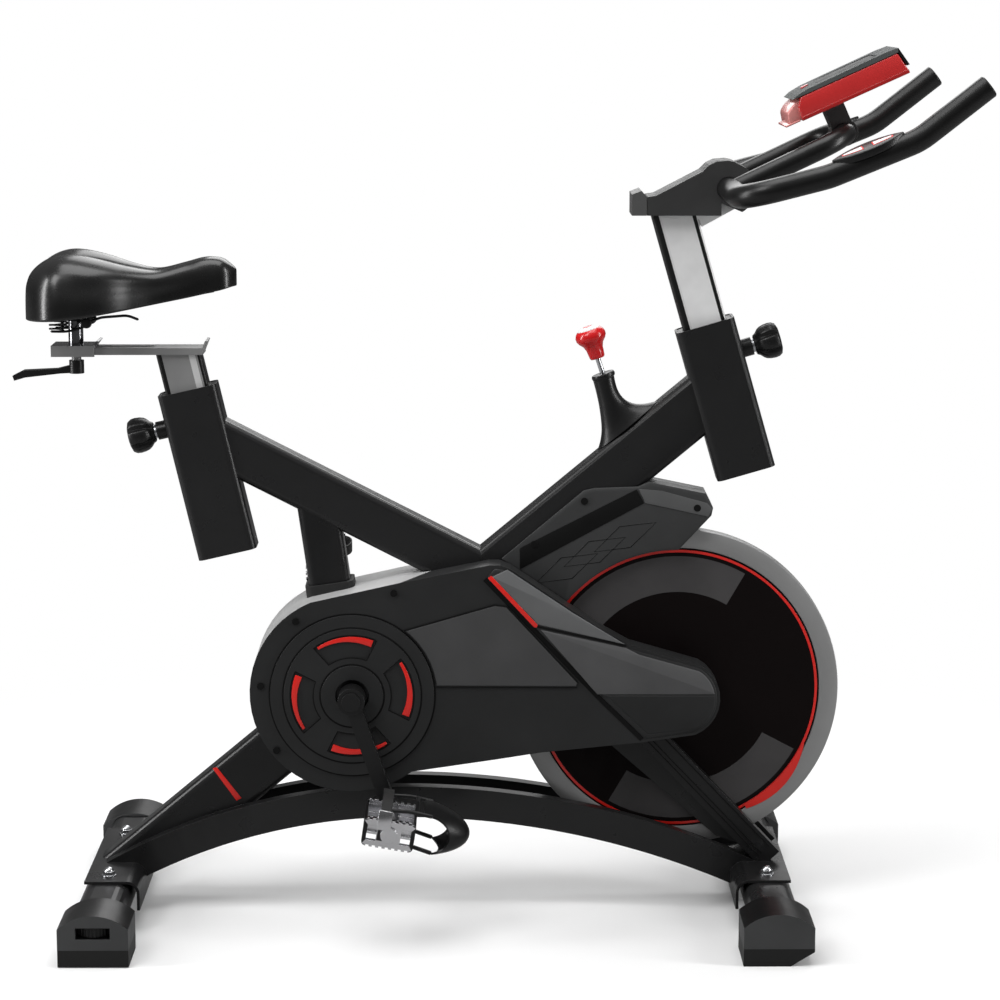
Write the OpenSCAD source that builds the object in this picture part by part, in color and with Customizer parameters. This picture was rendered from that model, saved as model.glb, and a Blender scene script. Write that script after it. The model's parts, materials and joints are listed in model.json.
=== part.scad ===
// Indoor spin bike: belt-driven flywheel, sliding saddle and handlebar posts, push brake.
// Frame: +X towards the handlebar, +Y the rider's left, +Z up, millimetres.
// Origin: on the floor, in the mid-plane, halfway along the overall length.

/* [Layout] */
// crank axle, distance behind the origin
crank_x = -170; // [-175:1:-165]
// crank axle height above the floor
crank_z = 290; // [286:1:294]
// flywheel axle, distance ahead of the origin
wheel_x = 241; // [238:1:244]
// flywheel axle height
wheel_z = 286; // [283:1:289]
// rear stabilizer centre line
rear_x = -477; // [-480:1:-474]
// front stabilizer centre line
front_x = 352; // [349:1:355]
// half the overall length across the foot caps
foot_y = 257; // [250:1:270]

/* [Flywheel and drive] */
// flywheel outer radius
wheel_r = 206; // [200:1:208]
// flywheel rim width
wheel_w = 24; // [20:1:25]
// drive pulley radius on the crank
drive_r = 100; // [90:1:105]
// small pulley radius on the flywheel axle
driven_r = 28; // [24:1:32]
// crank length, axle to pedal
crank_len = 150; // [140:1:155]
// forward lean of the lower crank from straight down, degrees
crank_lean = 19; // [10:1:25]

/* [Frame tubes] */
// width of the frame tubes across the bike
tube_w = 43; // [40:1:44]
// depth of the main beam
beam_d = 70; // [66:1:72]
// depth of the top tube
top_d = 60; // [56:1:62]
// depth of the seat strut
strut_d = 52; // [48:1:54]
// depth of each arched base rail
rail_d = 40; // [36:1:42]
// thickness of each arched base rail
rail_t = 16; // [14:1:16]
// tube wall thickness
wall = 2; // [1.5:0.5:3]

/* [Seat] */
// lean of the seat sleeve from upright, degrees
seat_lean = 12.9; // [12:0.1:14]
// seat sleeve length
seat_sleeve = 214; // [205:1:220]
// saddle width at the back
saddle_w = 200; // [180:1:210]

/* [Handlebar] */
// lean of the head sleeve from upright, degrees
head_lean = 16.15; // [15.5:0.05:17]
// head sleeve length
head_sleeve = 195; // [188:1:198]
// handlebar tube radius
bar_r = 14.3; // [14:0.1:14.6]
// half the distance between the two grips
grip_y = 203; // [195:1:210]
// half the width of the inner loop
loop_y = 70; // [65:1:75]
// radius of the inner loop tube
loop_r = 12.7; // [12:0.1:13]

/* [Shared sizes] */
// width of the posts, front to back
post_d = 55; // [54:1:56]
// width of the posts, side to side
post_w = 30; // [28:1:31]
// sleeve size, front to back
sleeve_d = 75; // [74:1:76]
// sleeve size, side to side
sleeve_w = 50; // [49:1:51]
// wall of the plastic covers
shell = 3; // [2:0.5:4]
// outer face of the belt cover, distance from the mid-plane
cover_y = 62; // [60:1:64]

/* [Hidden] */
$fn = 64;
eps = 0.01;
run = 0.05;                 // radial running clearance of a shaft in its bore
fit = 0.3;                  // clearance between assembled parts
tube_y = tube_w / 2;
rail_y = tube_y + rail_t;
weld = 0.5;                 // how far welded tubes overlap

floor_gap = 1;              // rear caps stand this far off the floor, on their pads

// side view points are [x, z]
crank_p = [crank_x, crank_z];
wheel_p = [wheel_x, wheel_z];
pedal_p = crank_p + crank_len * [sin(crank_lean), -cos(crank_lean)];
beam_foot = [-485, 27];
beam_plug = 114;
beam_head = [294, 675];
top_rear = [-363, 617];
top_front = [0, 430];
strut_top = [-216, 540];
strut_foot = [-180, 285];
seat_top = [-375.2, 670.9];
head_top = [271.4, 752.2];
arch_p = [-110, 164];
arch_rear_r = 765;
arch_front_r = 1085;
arch_split = -110;

// stabilizers and feet
stab_w = 60;
stab_h = 42;
stab_z = 40;
stab_y = 205;
stab_top = stab_z + stab_h / 2;
plate_t = 3.5;
plate_y = 118;
bolt_y = 92;
bolt_r = 4;
foot_w = 86;
foot_h = 65;
foot_d = 73;
foot_arch = 63;
foot_in = foot_y - foot_d;
level_y = 232;
level_r = 22;
level_z = 37;
level_h = 12;
stud_r = 4;
pad_r = 16;
pad_h = 7;
roller_r = 14;
roller_y = 230;
roller_p = [front_x + 21.9, 19.6];
roller_w = 30;

// drive
belt_y = 51;
belt_w = 14;
belt_t = 3;
axle_r = 6;
wheel_bearing_r = 14;
wheel_bearing_w = 8;
shell_r = 22;
shell_y = 35;
bb_r = 8.5;
bb_bearing_r = 17.5;
bb_bearing_w = 10;
drop_y = tube_y + 11;
rim_in = 182;
web_y = 4;
disc_y = 11;
hub_r = 26;
hub_y = 16;
crank_in = 70;
crank_out = 100;
arm_in = 84;
arm_out = 98;
arm_w = 19;
spindle_r = 6;
pedal_in = 106;
pedal_out = 198;
pedal_tilt = 10;              // right pedal, nearly level
left_hang = 80;               // the left pedal hangs this much further, toe down

// knobs
pin_r = 5;
pin_down = 44;
boss_r = 11.5;
boss_l = 13;
knob_r = 25;
knob_l = 37;

// seat parts
track_z = 715.4;
track_h = 8.6;
track_y = 20;
track_x0 = -540;
track_x1 = -354;
stem_x = -514;
stem_r = 9.3;
stem_top = 762;
stud_seat_r = 6;
lever_z = 690.3;
lever_h = 16.4;
lever_tip = -594;
rail_rod = 3;
rod_y = 22;
saddle_tail = -576;
saddle_nose = -312.8;

// handlebar parts
bar_p = [298, 922];
arm_1 = [400, 948];
arm_2 = [505, 990.5];
arm_end = [585.15, 1053.6];
corner_r = 45;
bend_r = 80;
loop_end = [440.6, 989.9];
loop_bend = 45;
shroud_y = 31.5;
stem_z = 889;

// console, drawn in its own tilted frame
console_p = [387.1, 1007];
console_a = 24.3;
console_l = 139;
console_y = 52;
console_h = 28;

// brake
brake_p = [144.9, 689.2];
brake_lean = 18.06;
rod_r = 3.2;
pad_gap = 10.2;
brake_pad_t = 7;

// ---------- helpers ----------

function len2(v) = sqrt(v[0] * v[0] + v[1] * v[1]);
function angle2(p, q) = atan2(q[1] - p[1], q[0] - p[0]);
function dir2(a) = [cos(a), sin(a)];
function arc(c, r, a0, a1, n) = [for (i = [0 : n]) c + r * dir2(a0 + (a1 - a0) * i / n)];

// corner points of a rounded rectangle centred on the origin
function corner(cx, cy, r, a) = arc([cx, cy], r, a, a + 90, 5);
function rounded(w, h, r) = concat(
    corner(w / 2 - r, h / 2 - r, r, 0),
    corner(-w / 2 + r, h / 2 - r, r, 90),
    corner(-w / 2 + r, -h / 2 + r, r, 180),
    corner(w / 2 - r, -h / 2 + r, r, 270));

// draws a side view outline as a slab between two distances from the mid-plane
module slab(y0, y1) {
    translate([0, y1, 0])
        rotate([90, 0, 0])
            linear_extrude(y1 - y0)
                children();
}

// copies to the right side as drawn and to the left side mirrored
module both_sides() {
    children();
    mirror([0, 1, 0])
        children();
}

// a round bar across the bike at a side view point
module cross_bar(p, r, y0, y1, n = 64) {
    translate([p[0], y0, p[1]])
        rotate([-90, 0, 0])
            cylinder(r = r, h = y1 - y0, $fn = n);
}

// puts children in a frame whose Z runs along side view angle a from point p
module along(p, a) {
    translate([p[0], 0, p[1]])
        rotate([0, 90 - a, 0])
            children();
}

// straight rectangular tube between two side view points
module tube_run(p, q, depth, width, inset = 0, start = 0, stop = 0) {
    along(p, angle2(p, q))
        translate([0, 0, start])
            linear_extrude(len2(q - p) - start - stop)
                polygon(rounded(depth - 2 * inset, width - 2 * inset, 9 - inset));
}

// sleeve or post section running down from its top centre
module down_run(top, lean, from, length, depth, width, r) {
    along(top, 90 + lean)
        translate([0, 0, -from - length])
            linear_extrude(length)
                polygon(rounded(depth, width, r));
}

// a point on a post axis, d below its top and o outwards along its front normal
function post_point(top, lean, d, o) =
    top + d * [sin(lean), -cos(lean)] + o * [cos(lean), sin(lean)];

// ---------- frame ----------

module arch_outline(inset) {
    rear_c = arch_p - [0, arch_rear_r];
    front_c = arch_p - [0, arch_front_r];
    rear_in = arch_rear_r - rail_d + inset;
    front_in = arch_front_r - rail_d + inset;
    polygon(concat(
        arc(rear_c, arch_rear_r - inset, 120.6, 90, 40),
        arc(front_c, arch_front_r - inset, 90, 64.6, 40),
        arc(front_c, front_in, 64.6, 90, 40),
        arc(rear_c, rear_in, 90, 120.6, 40)));
}

// fork leg from the front stabilizer up to the main beam, outer and inner shape
fork_foot = [362, 66.6];
fork_head = [22, 425.5];
fork_d = 31;
module fork_leg(inset) {
    half = (rail_t + weld) / 2 - 0.2;
    translate([0, tube_y - weld / 2 + half, 0])
        tube_strip(fork_foot, fork_head, fork_d, inset, half);
}
module tube_strip(p, q, depth, inset, half) {
    along(p, angle2(p, q))
        translate([-depth / 2 + inset, -half + inset, 0])
            cube([depth - 2 * inset, 2 * (half - inset), len2(q - p) + inset]);
}

// tapered stiffener beside the fork leg
module fork_web() {
    slab(tube_y + 1, tube_y + 5)
        polygon([[150, 222], [292, 96], [334, 80], [196, 228]]);
}

// bearing plate carrying one end of the flywheel axle
module dropout() {
    slab(tube_y + 0.5, tube_y + 7)
        polygon([[122, 306], [184, 240], [240, 256], [262, 270],
                 [262, 300], [240, 312], [160, 330]]);
    cross_bar(wheel_p, wheel_bearing_r + 5, tube_y + 0.5, drop_y);
}

// bent plate over a stabilizer: upper surface height top, leg outer face at reach
bend_plate_r = 16;
plate_reach = 41;
function plate_bend(reach, top, r, a0, a1) = arc([reach - r, top - r], r, a0, a1, 8);

// side = 1 turns the leg towards +X, side = -1 towards -X
module stab_plate(x, side) {
    top = stab_top + plate_t;
    translate([x, 0, 0])
        mirror([side < 0 ? 1 : 0, 0, 0])
            slab(-plate_y, plate_y)
                polygon(concat(
                    [[plate_reach - plate_t, 27], [plate_reach, 27]],
                    plate_bend(plate_reach, top, bend_plate_r, 0, 90),
                    [[-28, top], [-28, stab_top]],
                    plate_bend(plate_reach - plate_t, stab_top, bend_plate_r - plate_t, 90, 0)));
}

// room under a bent plate that the frame tubes may not enter
module stab_room(x, side) {
    reach = plate_reach - plate_t / 2;
    top = stab_top + plate_t / 2;
    translate([x, 0, 0])
        mirror([side < 0 ? 1 : 0, 0, 0])
            slab(-150, 150)
                polygon(concat(
                    [[-80, -5], [reach, -5]],
                    plate_bend(reach, top, bend_plate_r - plate_t / 2, 0, 90),
                    [[-80, top]]));
}

module pin_boss(top, lean, side) {
    p = post_point(top, lean, pin_down, side * (sleeve_d / 2 - 1));
    along(p, side > 0 ? lean : 180 + lean)
        cylinder(r = boss_r, h = boss_l + 1);
}

module pin_bore(top, lean, side) {
    p = post_point(top, lean, pin_down, side * 20);
    along(p, side > 0 ? lean : 180 + lean)
        cylinder(r = pin_r + run, h = 60);
}

module frame_outer() {
    difference() {
        tube_run(beam_foot, beam_head, beam_d, tube_w);
        // the beam foot stops at the underside of the arched rails
        cross_bar(arch_p - [0, arch_rear_r], arch_rear_r - rail_d + 2, -tube_w, tube_w, 360);
    }
    tube_run(top_rear, top_front, top_d, tube_w);
    tube_run(strut_top, strut_foot, strut_d, tube_w - 3);
    down_run(seat_top, seat_lean, 0, seat_sleeve, sleeve_d, sleeve_w, 9);
    down_run(head_top, head_lean, 0, head_sleeve, sleeve_d, sleeve_w, 9);
    cross_bar(crank_p, shell_r, -shell_y, shell_y);
    both_sides() {
        slab(-rail_y, -tube_y + weld)
            arch_outline(0);
        mirror([0, 1, 0]) {
            fork_leg(0);
            fork_web();
            dropout();
        }
    }
}

module frame_hollows() {
    tube_run(beam_foot, beam_head, beam_d, tube_w, wall, beam_plug, 62);
    tube_run(top_rear, top_front, top_d, tube_w, wall, 62, 0);
    tube_run(strut_top, strut_foot, strut_d, tube_w - 3, wall, 0, 0);
    both_sides() {
        slab(-rail_y + wall, -tube_y - wall + weld)
            arch_outline(wall);
        mirror([0, 1, 0])
            fork_leg(wall);
    }
}

module frame_ends() {
    // what closes or runs through the tubes again after hollowing
    stab_plate(rear_x, 1);
    stab_plate(front_x, -1);
    pin_boss(seat_top, seat_lean, -1);
    pin_boss(head_top, head_lean, 1);
    difference() {
        cross_bar(crank_p, shell_r, -shell_y, shell_y);
        cross_bar(crank_p, bb_bearing_r + 0.02, -shell_y - 1, shell_y + 1);
    }
    // guide tube of the brake rod through the beam
    intersection() {
        tube_run(beam_foot, beam_head, beam_d, tube_w);
        along(brake_p, 90 + brake_lean)
            translate([0, 0, -170])
                cylinder(r = 8, h = 120);
    }
    // clamp plate tying the rails together under the fork
    translate([300, -tube_y - 1, 66])
        cube([40, tube_w + 2, 5]);
}

module frame() {
    color([0.13, 0.13, 0.14]) {
        difference() {
            union() {
                difference() {
                    frame_outer();
                    frame_hollows();
                    cross_bar(crank_p, bb_bearing_r + 0.02, -shell_y - 1, shell_y + 1);
                    stab_room(rear_x, 1);
                    stab_room(front_x, -1);
                }
                frame_ends();
            }
            down_run(seat_top, seat_lean, -1, seat_sleeve + 2, sleeve_d - 6, sleeve_w - 6, 6);
            down_run(head_top, head_lean, -1, head_sleeve + 2, sleeve_d - 6, sleeve_w - 6, 6);
            pin_bore(seat_top, seat_lean, -1);
            pin_bore(head_top, head_lean, 1);
            along(brake_p, 90 + brake_lean)
                translate([0, 0, -170])
                    cylinder(r = rod_r + run, h = 110);
            cross_bar(wheel_p, wheel_bearing_r + 0.02, -drop_y - 1, -tube_y);
            cross_bar(wheel_p, wheel_bearing_r + 0.02, tube_y, drop_y + 1);
            for (x = [rear_x, front_x], y = [-bolt_y, bolt_y])
                translate([x, y, stab_top - 1])
                    cylinder(r = bolt_r + 0.2, h = 10);
            // weep holes between the rails and inside the belt cover
            cross_bar([40, 132], 3, -tube_y - 3, tube_y + 3);
            cross_bar([-100, 348], 4, -tube_y - 1, -tube_y + 3);
        }
    }
}

// ---------- stabilizers and feet ----------

module stabilizer(x) {
    difference() {
        translate([x, 0, stab_z])
            rotate([90, 0, 0])
                translate([0, 0, -stab_y])
                    linear_extrude(2 * stab_y)
                        difference() {
                            polygon(rounded(stab_w, stab_h, 17));
                            polygon(rounded(stab_w - 2 * wall, stab_h - 2 * wall, 17 - wall));
                        }
        for (y = [-bolt_y, bolt_y])
            translate([x, y, stab_z - stab_h])
                cylinder(r = bolt_r + 0.2, h = 2 * stab_h);
    }
}

module rear_stabilizer() {
    color([0.13, 0.13, 0.14])
        stabilizer(rear_x);
}

module front_stabilizer() {
    color([0.13, 0.13, 0.14])
        stabilizer(front_x);
}

// carriage bolt, washer and dome nut holding a stabilizer to its plate
module dome_bolt() {
    top = stab_top + plate_t;
    translate([0, 0, stab_z - stab_h / 2 - 3])
        cylinder(r = 9, h = 3);
    translate([0, 0, stab_z - stab_h / 2 - 1])
        cylinder(r = bolt_r, h = stab_h + plate_t + 4);
    translate([0, 0, top])
        cylinder(r = 9, h = 1.6);
    translate([0, 0, top + 1])
        cylinder(r = 7.6, h = 5, $fn = 6);
    translate([0, 0, top + 5])
        intersection() {
            sphere(r = 6.4);
            cylinder(r = 8, h = 8);
        }
}

module dome_bolts() {
    color([0.75, 0.76, 0.78])
        for (x = [rear_x, front_x], y = [-bolt_y, bolt_y])
            translate([x, y, 0])
                dome_bolt();
}

// right hand foot cap body without its mechanism, bottom at z0
module foot_body(x, z0, front) {
    bevel = front ? 18 : 0;
    bevel_x = front ? 14 : foot_w / 2;
    translate([x, 0, 0])
        difference() {
            intersection() {
                slab(-foot_y, -foot_in)
                    polygon([[-foot_w / 2, z0], [bevel_x, z0], [foot_w / 2, bevel + z0],
                             [foot_w / 2, foot_h], [-foot_w / 2, foot_h]]);
                cross_bar([0, foot_h - foot_arch], foot_arch, -foot_y - 1, -foot_in + 1);
            }
            // socket for the stabilizer tube
            translate([0, -stab_y - fit, stab_z])
                rotate([-90, 0, 0])
                    linear_extrude(foot_d)
                        polygon(rounded(stab_w + 2 * fit, stab_h + 2 * fit, 16.6));
        }
    // plug inside the tube
    translate([x, -stab_y - fit - 1, stab_z])
        rotate([-90, 0, 0])
            linear_extrude(22)
                polygon(rounded(stab_w - 2 * wall - 2 * fit, stab_h - 2 * wall - 2 * fit, 15));
}

module rear_foot() {
    difference() {
        foot_body(rear_x, floor_gap, false);
        // window for the thumb wheel
        translate([rear_x - 21, -foot_y - 1, level_z - 1])
            cube([42, 16, level_h + 2]);
        translate([rear_x, -level_y, level_z - 1])
            cylinder(r = level_r + 1, h = level_h + 2);
        translate([rear_x, -level_y, -1])
            cylinder(r = pad_r + 1, h = pad_h + 2);
        translate([rear_x, -level_y, 0])
            cylinder(r = stud_r + run, h = 62);
    }
}

module right_rear_foot() {
    color([0.22, 0.22, 0.23])
        rear_foot();
}

module left_rear_foot() {
    color([0.22, 0.22, 0.23])
        mirror([0, 1, 0])
            rear_foot();
}

module front_foot() {
    difference() {
        foot_body(front_x, 0, true);
        cross_bar(roller_p, roller_r + 1.2, -roller_y - roller_w / 2 - 1,
                  -roller_y + roller_w / 2 + 1);
        cross_bar(roller_p, 3 + run, -roller_y - 21, -roller_y + 21);
    }
}

module right_front_foot() {
    color([0.22, 0.22, 0.23])
        front_foot();
}

module left_front_foot() {
    color([0.22, 0.22, 0.23])
        mirror([0, 1, 0])
            front_foot();
}

// knurled thumb wheel, threaded on the pad's stud
module level_wheel() {
    ribs = 28;
    translate([rear_x, -level_y, level_z])
        difference() {
            cylinder(r = level_r, h = level_h);
            translate([0, 0, -1])
                cylinder(r = stud_r + run, h = level_h + 2);
            for (i = [0 : ribs - 1])
                rotate([0, 0, i * 360 / ribs])
                    translate([level_r + 0.3, 0, -1])
                        cylinder(r = 1.3, h = level_h + 2, $fn = 8);
        }
}

module right_level_wheel() {
    color([0.1, 0.1, 0.1])
        level_wheel();
}

module left_level_wheel() {
    color([0.1, 0.1, 0.1])
        mirror([0, 1, 0])
            level_wheel();
}

module level_pad() {
    translate([rear_x, -level_y, 0]) {
        cylinder(r1 = pad_r, r2 = pad_r - 2, h = pad_h);
        cylinder(r = stud_r, h = 60);
    }
}

module right_level_pad() {
    color([0.08, 0.08, 0.08])
        level_pad();
}

module left_level_pad() {
    color([0.08, 0.08, 0.08])
        mirror([0, 1, 0])
            level_pad();
}

// transport roller with its own stub axle
module roller() {
    difference() {
        cross_bar(roller_p, roller_r, -roller_y - roller_w / 2, -roller_y + roller_w / 2);
        for (y = [-roller_y - roller_w / 2 - 1, -roller_y + roller_w / 2 - 3])
            difference() {
                cross_bar(roller_p, roller_r - 3, y, y + 4);
                cross_bar(roller_p, 6, y - 1, y + 5);
            }
    }
    cross_bar(roller_p, 3, -roller_y - 20, -roller_y + 20);
}

module right_roller() {
    color([0.12, 0.12, 0.12])
        roller();
}

module left_roller() {
    color([0.12, 0.12, 0.12])
        mirror([0, 1, 0])
            roller();
}

// ---------- bushes and bearings ----------

module post_bush(top, lean, side) {
    difference() {
        down_run(top, lean, 1, 120, sleeve_d - 6.4, sleeve_w - 6.4, 6);
        down_run(top, lean, 0, 122, post_d + 0.4, post_w + 0.4, 4);
        along(post_point(top, lean, pin_down, side * 20), side > 0 ? lean : 180 + lean)
            cylinder(r = pin_r + 0.5, h = 60);
    }
}

module post_bushes() {
    color([0.09, 0.09, 0.09]) {
        post_bush(seat_top, seat_lean, -1);
        post_bush(head_top, head_lean, 1);
    }
}

module ball_bearing(p, r_out, r_in, y0, y1) {
    difference() {
        cross_bar(p, r_out, y0, y1);
        cross_bar(p, r_in, y0 - 1, y1 + 1);
        for (y = [y0 - 1, y1 - 0.6])
            difference() {
                cross_bar(p, r_out - 2.5, y, y + 1.6);
                cross_bar(p, r_in + 2.5, y - 1, y + 3);
            }
    }
}

module bearings() {
    color([0.7, 0.71, 0.73]) {
        ball_bearing(crank_p, bb_bearing_r, bb_r + run, -shell_y, -shell_y + bb_bearing_w);
        ball_bearing(crank_p, bb_bearing_r, bb_r + run, shell_y - bb_bearing_w, shell_y);
        ball_bearing(wheel_p, wheel_bearing_r, axle_r + run, -drop_y, -drop_y + wheel_bearing_w);
        ball_bearing(wheel_p, wheel_bearing_r, axle_r + run, drop_y - wheel_bearing_w, drop_y);
    }
}

// ---------- covers ----------

cover_c = [-172, 292];
cover_r = 127;
nose_c = [243, 284];
nose_r = 50;
cover_mid = 15;             // ahead of this the cover edges stay clear of the flywheel
left_cover_y = 41;
seam = 0.15;
screw_r = 2;
head_r = 4.5;
head_h = 2;
cover_line = concat(
    arc(cover_c, cover_r, 113, 307, 30),
    [[16, 207], [66, 215], [195, 228]],
    arc(nose_c, nose_r, -68, 62, 10),
    [[178, 354], [141, 375], [29, 451], [17, 456], [2, 456], [-109, 434]]);
shield_line = concat(
    [[8, 433], [146, 285], [199, 233]],
    arc(nose_c, nose_r - 4, -68, 62, 10),
    [[178, 349], [139, 371], [28, 446], [10, 452]]);
disc_r = 103;
panel_line = concat(
    arc(crank_p, disc_r + 1.5, 52, 6, 12),
    [[112, 300], [114, 306], [24, 404], [9, 406]]);
cover_screw_points = [[-117, 421], [-240, 385], [-285, 302], [-266, 219]];
guard_line = concat(
    [[18, 457]],
    arc(wheel_p, 182, 141, 90, 12),
    [[282, 512], [284, 522], [275, 540], [203, 555], [190, 549], [134, 547], [121, 544]]);
guard_y = 25;
guard_screw_points = [[59, 476], [122, 531], [264, 522]];

// inward copy of a counter-clockwise outline
function unit(v) = v / len2(v);
function normal(p, q) = unit([p[1] - q[1], q[0] - p[0]]);
function inset_point(a, b, c, d) =
    b + d * (normal(a, b) + normal(b, c)) / (1 + normal(a, b) * normal(b, c));
function inset(line, d) = let (n = len(line)) [
    for (i = [0 : n - 1]) inset_point(line[(i + n - 1) % n], line[i], line[(i + 1) % n], d)];

// one half of the belt casing reaching from the mid-plane out to distance out
module cover_half(out) {
    difference() {
        slab(-out, -seam)
            polygon(cover_line);
        slab(-out + shell, 1)
            polygon(inset(cover_line, shell));
        cross_bar(crank_p, 24, -out - 1, -out + shell + 1);
        along(strut_foot, angle2(strut_foot, strut_top))
            linear_extrude(260)
                polygon(rounded(strut_d + 10.6, tube_w + 7.6, 10));
        tube_run(beam_foot, beam_head, beam_d + 2, tube_w + 3);
        tube_run(top_rear, top_front, top_d + 2, tube_w + 3);
        translate([0, -rail_y - 1 + rail_t, 0])
            tube_strip(fork_foot, fork_head, fork_d + 3, 0, rail_t);
        // clear of the flywheel and its guard
        translate([cover_mid, -guard_y - 1.5, 150])
            cube([400, 40, 400]);
        for (p = cover_screw_points)
            cross_bar(p, screw_r + 0.1, -out - 1, -out + shell + 1);
    }
}

module right_cover() {
    color([0.16, 0.16, 0.17]) {
        cover_half(cover_y);
        slab(-cover_y - 1.5, -cover_y + 1)
            polygon(panel_line);
    }
}

module left_cover() {
    color([0.6, 0.6, 0.6])
        mirror([0, 1, 0])
            cover_half(left_cover_y);
}

module cover_shield() {
    color([0.45, 0.46, 0.47])
        slab(-cover_y - 2.2, -cover_y - 0.1)
            polygon(shield_line);
}

// rubber grommet where the strut enters the casing
module strut_gasket() {
    color([0.06, 0.06, 0.06])
        along(strut_foot, angle2(strut_foot, strut_top))
            translate([0, 0, 122])
                difference() {
                    linear_extrude(19)
                        polygon(rounded(strut_d + 10, tube_w + 7, 10));
                    translate([0, 0, -1])
                        linear_extrude(21)
                            polygon(rounded(strut_d + 0.4, tube_w - 2.6, 9));
                }
}

// four windows around the crank, each with a red arc that thins out clockwise
window_from = [66, 156, 246, 336];
window_turn = 62;
window_r0 = 49;
window_r1 = 78;
window_floor = -cover_y - 2.6;
function window_line(a) = concat(
    arc(crank_p, window_r1, a, a + window_turn, 16),
    arc(crank_p, window_r0, a + window_turn - 2, a + 2, 16));
function red_arc(a) = concat(
    arc(crank_p, window_r1 - 2, a + 3, a + window_turn - 3, 16),
    [for (i = [16 : -1 : 0])
        crank_p + (window_r1 - 9 + 4 * i / 16) * dir2(a + 3 + (window_turn - 6) * i / 16)]);
band_t = 0.5;

// vinyl stripe on the casing, arcs in the crank windows and a band on the main beam
module red_trims() {
    color([0.8, 0.14, 0.1]) {
        slab(-cover_y - 2.8, -cover_y - 2.3)
            polygon([[6, 438.5], [50, 389], [53.5, 389], [55.5, 392], [11, 443]]);
        for (a = window_from)
            slab(window_floor - 1.5, window_floor - 0.1)
                polygon(red_arc(a));
        // plain band across the side of the main beam
        slab(-tube_w / 2 - band_t - 0.1, -tube_w / 2 - 0.1)
            polygon([[-355, 190], [-349, 190], [-315, 145], [-321, 142]]);
    }
}

// round cap over the crank opening
module crank_disc() {
    color([0.2, 0.2, 0.21])
        difference() {
            union() {
                cross_bar(crank_p, disc_r, -cover_y - 3, -cover_y - 0.1, 180);
                cross_bar(crank_p, 86, -cover_y - 4.3, -cover_y - 1, 180);
                cross_bar(crank_p, 39, -cover_y - 6, -cover_y - 1, 120);
            }
            cross_bar(crank_p, 21, -cover_y - 7, -cover_y + 1);
            for (a = window_from)
                slab(-cover_y - 5, window_floor)
                    polygon(window_line(a));
        }
}

module guard_half() {
    difference() {
        slab(-guard_y, -seam)
            polygon(guard_line);
        slab(-guard_y + 2.5, 1)
            polygon(inset(guard_line, 2.5));
        tube_run(beam_foot, beam_head, beam_d + 0.6, tube_w + 0.6);
        cross_bar(wheel_p, wheel_r + 3.5, -wheel_w / 2 - 3, 1, 180);
        along(brake_p, 90 + brake_lean)
            translate([0, 0, -230])
                cylinder(r = 12, h = 110);
        for (p = guard_screw_points)
            cross_bar(p, screw_r + 0.1, -guard_y - 1, -guard_y + 4);
    }
}

module wheel_guards() {
    color([0.2, 0.2, 0.21])
        both_sides()
            guard_half();
}

module cover_screw(p, y) {
    cross_bar(p, head_r, y - head_h, y, 32);
    cross_bar(p, screw_r, y - 1, y + 2.4, 24);
}

module cover_screws() {
    color([0.7, 0.7, 0.72]) {
        for (p = cover_screw_points) {
            cover_screw(p, -cover_y);
            mirror([0, 1, 0])
                cover_screw(p, -left_cover_y);
        }
        both_sides()
            for (p = guard_screw_points)
                cover_screw(p, -guard_y);
    }
}

// ---------- crank set ----------

module crank_axle() {
    color([0.6, 0.61, 0.63])
        cross_bar(crank_p, bb_r, -arm_out, arm_out);
}

module drive_pulley() {
    color([0.25, 0.25, 0.26])
        difference() {
            union() {
                difference() {
                    cross_bar(crank_p, drive_r, -belt_y - belt_w / 2, -belt_y + belt_w / 2, 180);
                    for (y = [-belt_y - belt_w / 2 - 1, -belt_y + 2.5])
                        cross_bar(crank_p, drive_r - 7, y, y + belt_w / 2 - 1.5, 120);
                }
                cross_bar(crank_p, 20, -belt_y - 7, -37.5);
            }
            cross_bar(crank_p, bb_r + run, -70, -30);
            for (i = [0 : 4]) {
                a = 90 + 72 * i;
                cross_bar(crank_p + 56 * dir2(a), 18, -70, -30);
            }
        }
}

// crank arm drawn for the right side, leaning forward of straight down
module crank_arm() {
    difference() {
        union() {
            cross_bar(crank_p, 17, -crank_out, -crank_in);
            cross_bar(pedal_p, 13, -arm_out, -arm_in);
            along(crank_p, angle2(crank_p, pedal_p))
                translate([-arm_w / 2, -arm_out, 0])
                    cube([arm_w, arm_out - arm_in, crank_len]);
        }
        cross_bar(crank_p, bb_r + run, -crank_out - 1, -crank_in + 1);
        cross_bar(pedal_p, spindle_r + run, -arm_out - 1, -arm_in + 1);
    }
}

// turns a right side part into the opposite left side part of the crank set
module opposite() {
    translate([crank_x, 0, crank_z])
        rotate([0, 180, 0])
            mirror([0, 1, 0])
                translate([-crank_x, 0, -crank_z])
                    children();
}

// carries a right pedal part to the left pedal, which hangs toe down
module to_left_pedal() {
    left_p = 2 * crank_p - pedal_p;
    translate([left_p[0], 0, left_p[1]])
        rotate([0, left_hang, 0])
            mirror([0, 1, 0])
                translate([-pedal_p[0], 0, -pedal_p[1]])
                    children();
}

module right_crank() {
    color([0.12, 0.12, 0.12])
        crank_arm();
}

module left_crank() {
    color([0.12, 0.12, 0.12])
        opposite()
            crank_arm();
}

// axle cap and pedal spindle of one side
module crank_fastener() {
    cross_bar(crank_p, 12, -crank_out - 2.5, -crank_out - run);
    cross_bar(crank_p, bb_r - 1, -crank_out - 1, -arm_out - run);
    cross_bar(pedal_p, spindle_r, -pedal_out + 6, -arm_in);
    cross_bar(pedal_p, 8, -pedal_in + 3, -arm_out - run, 6);
}

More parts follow.
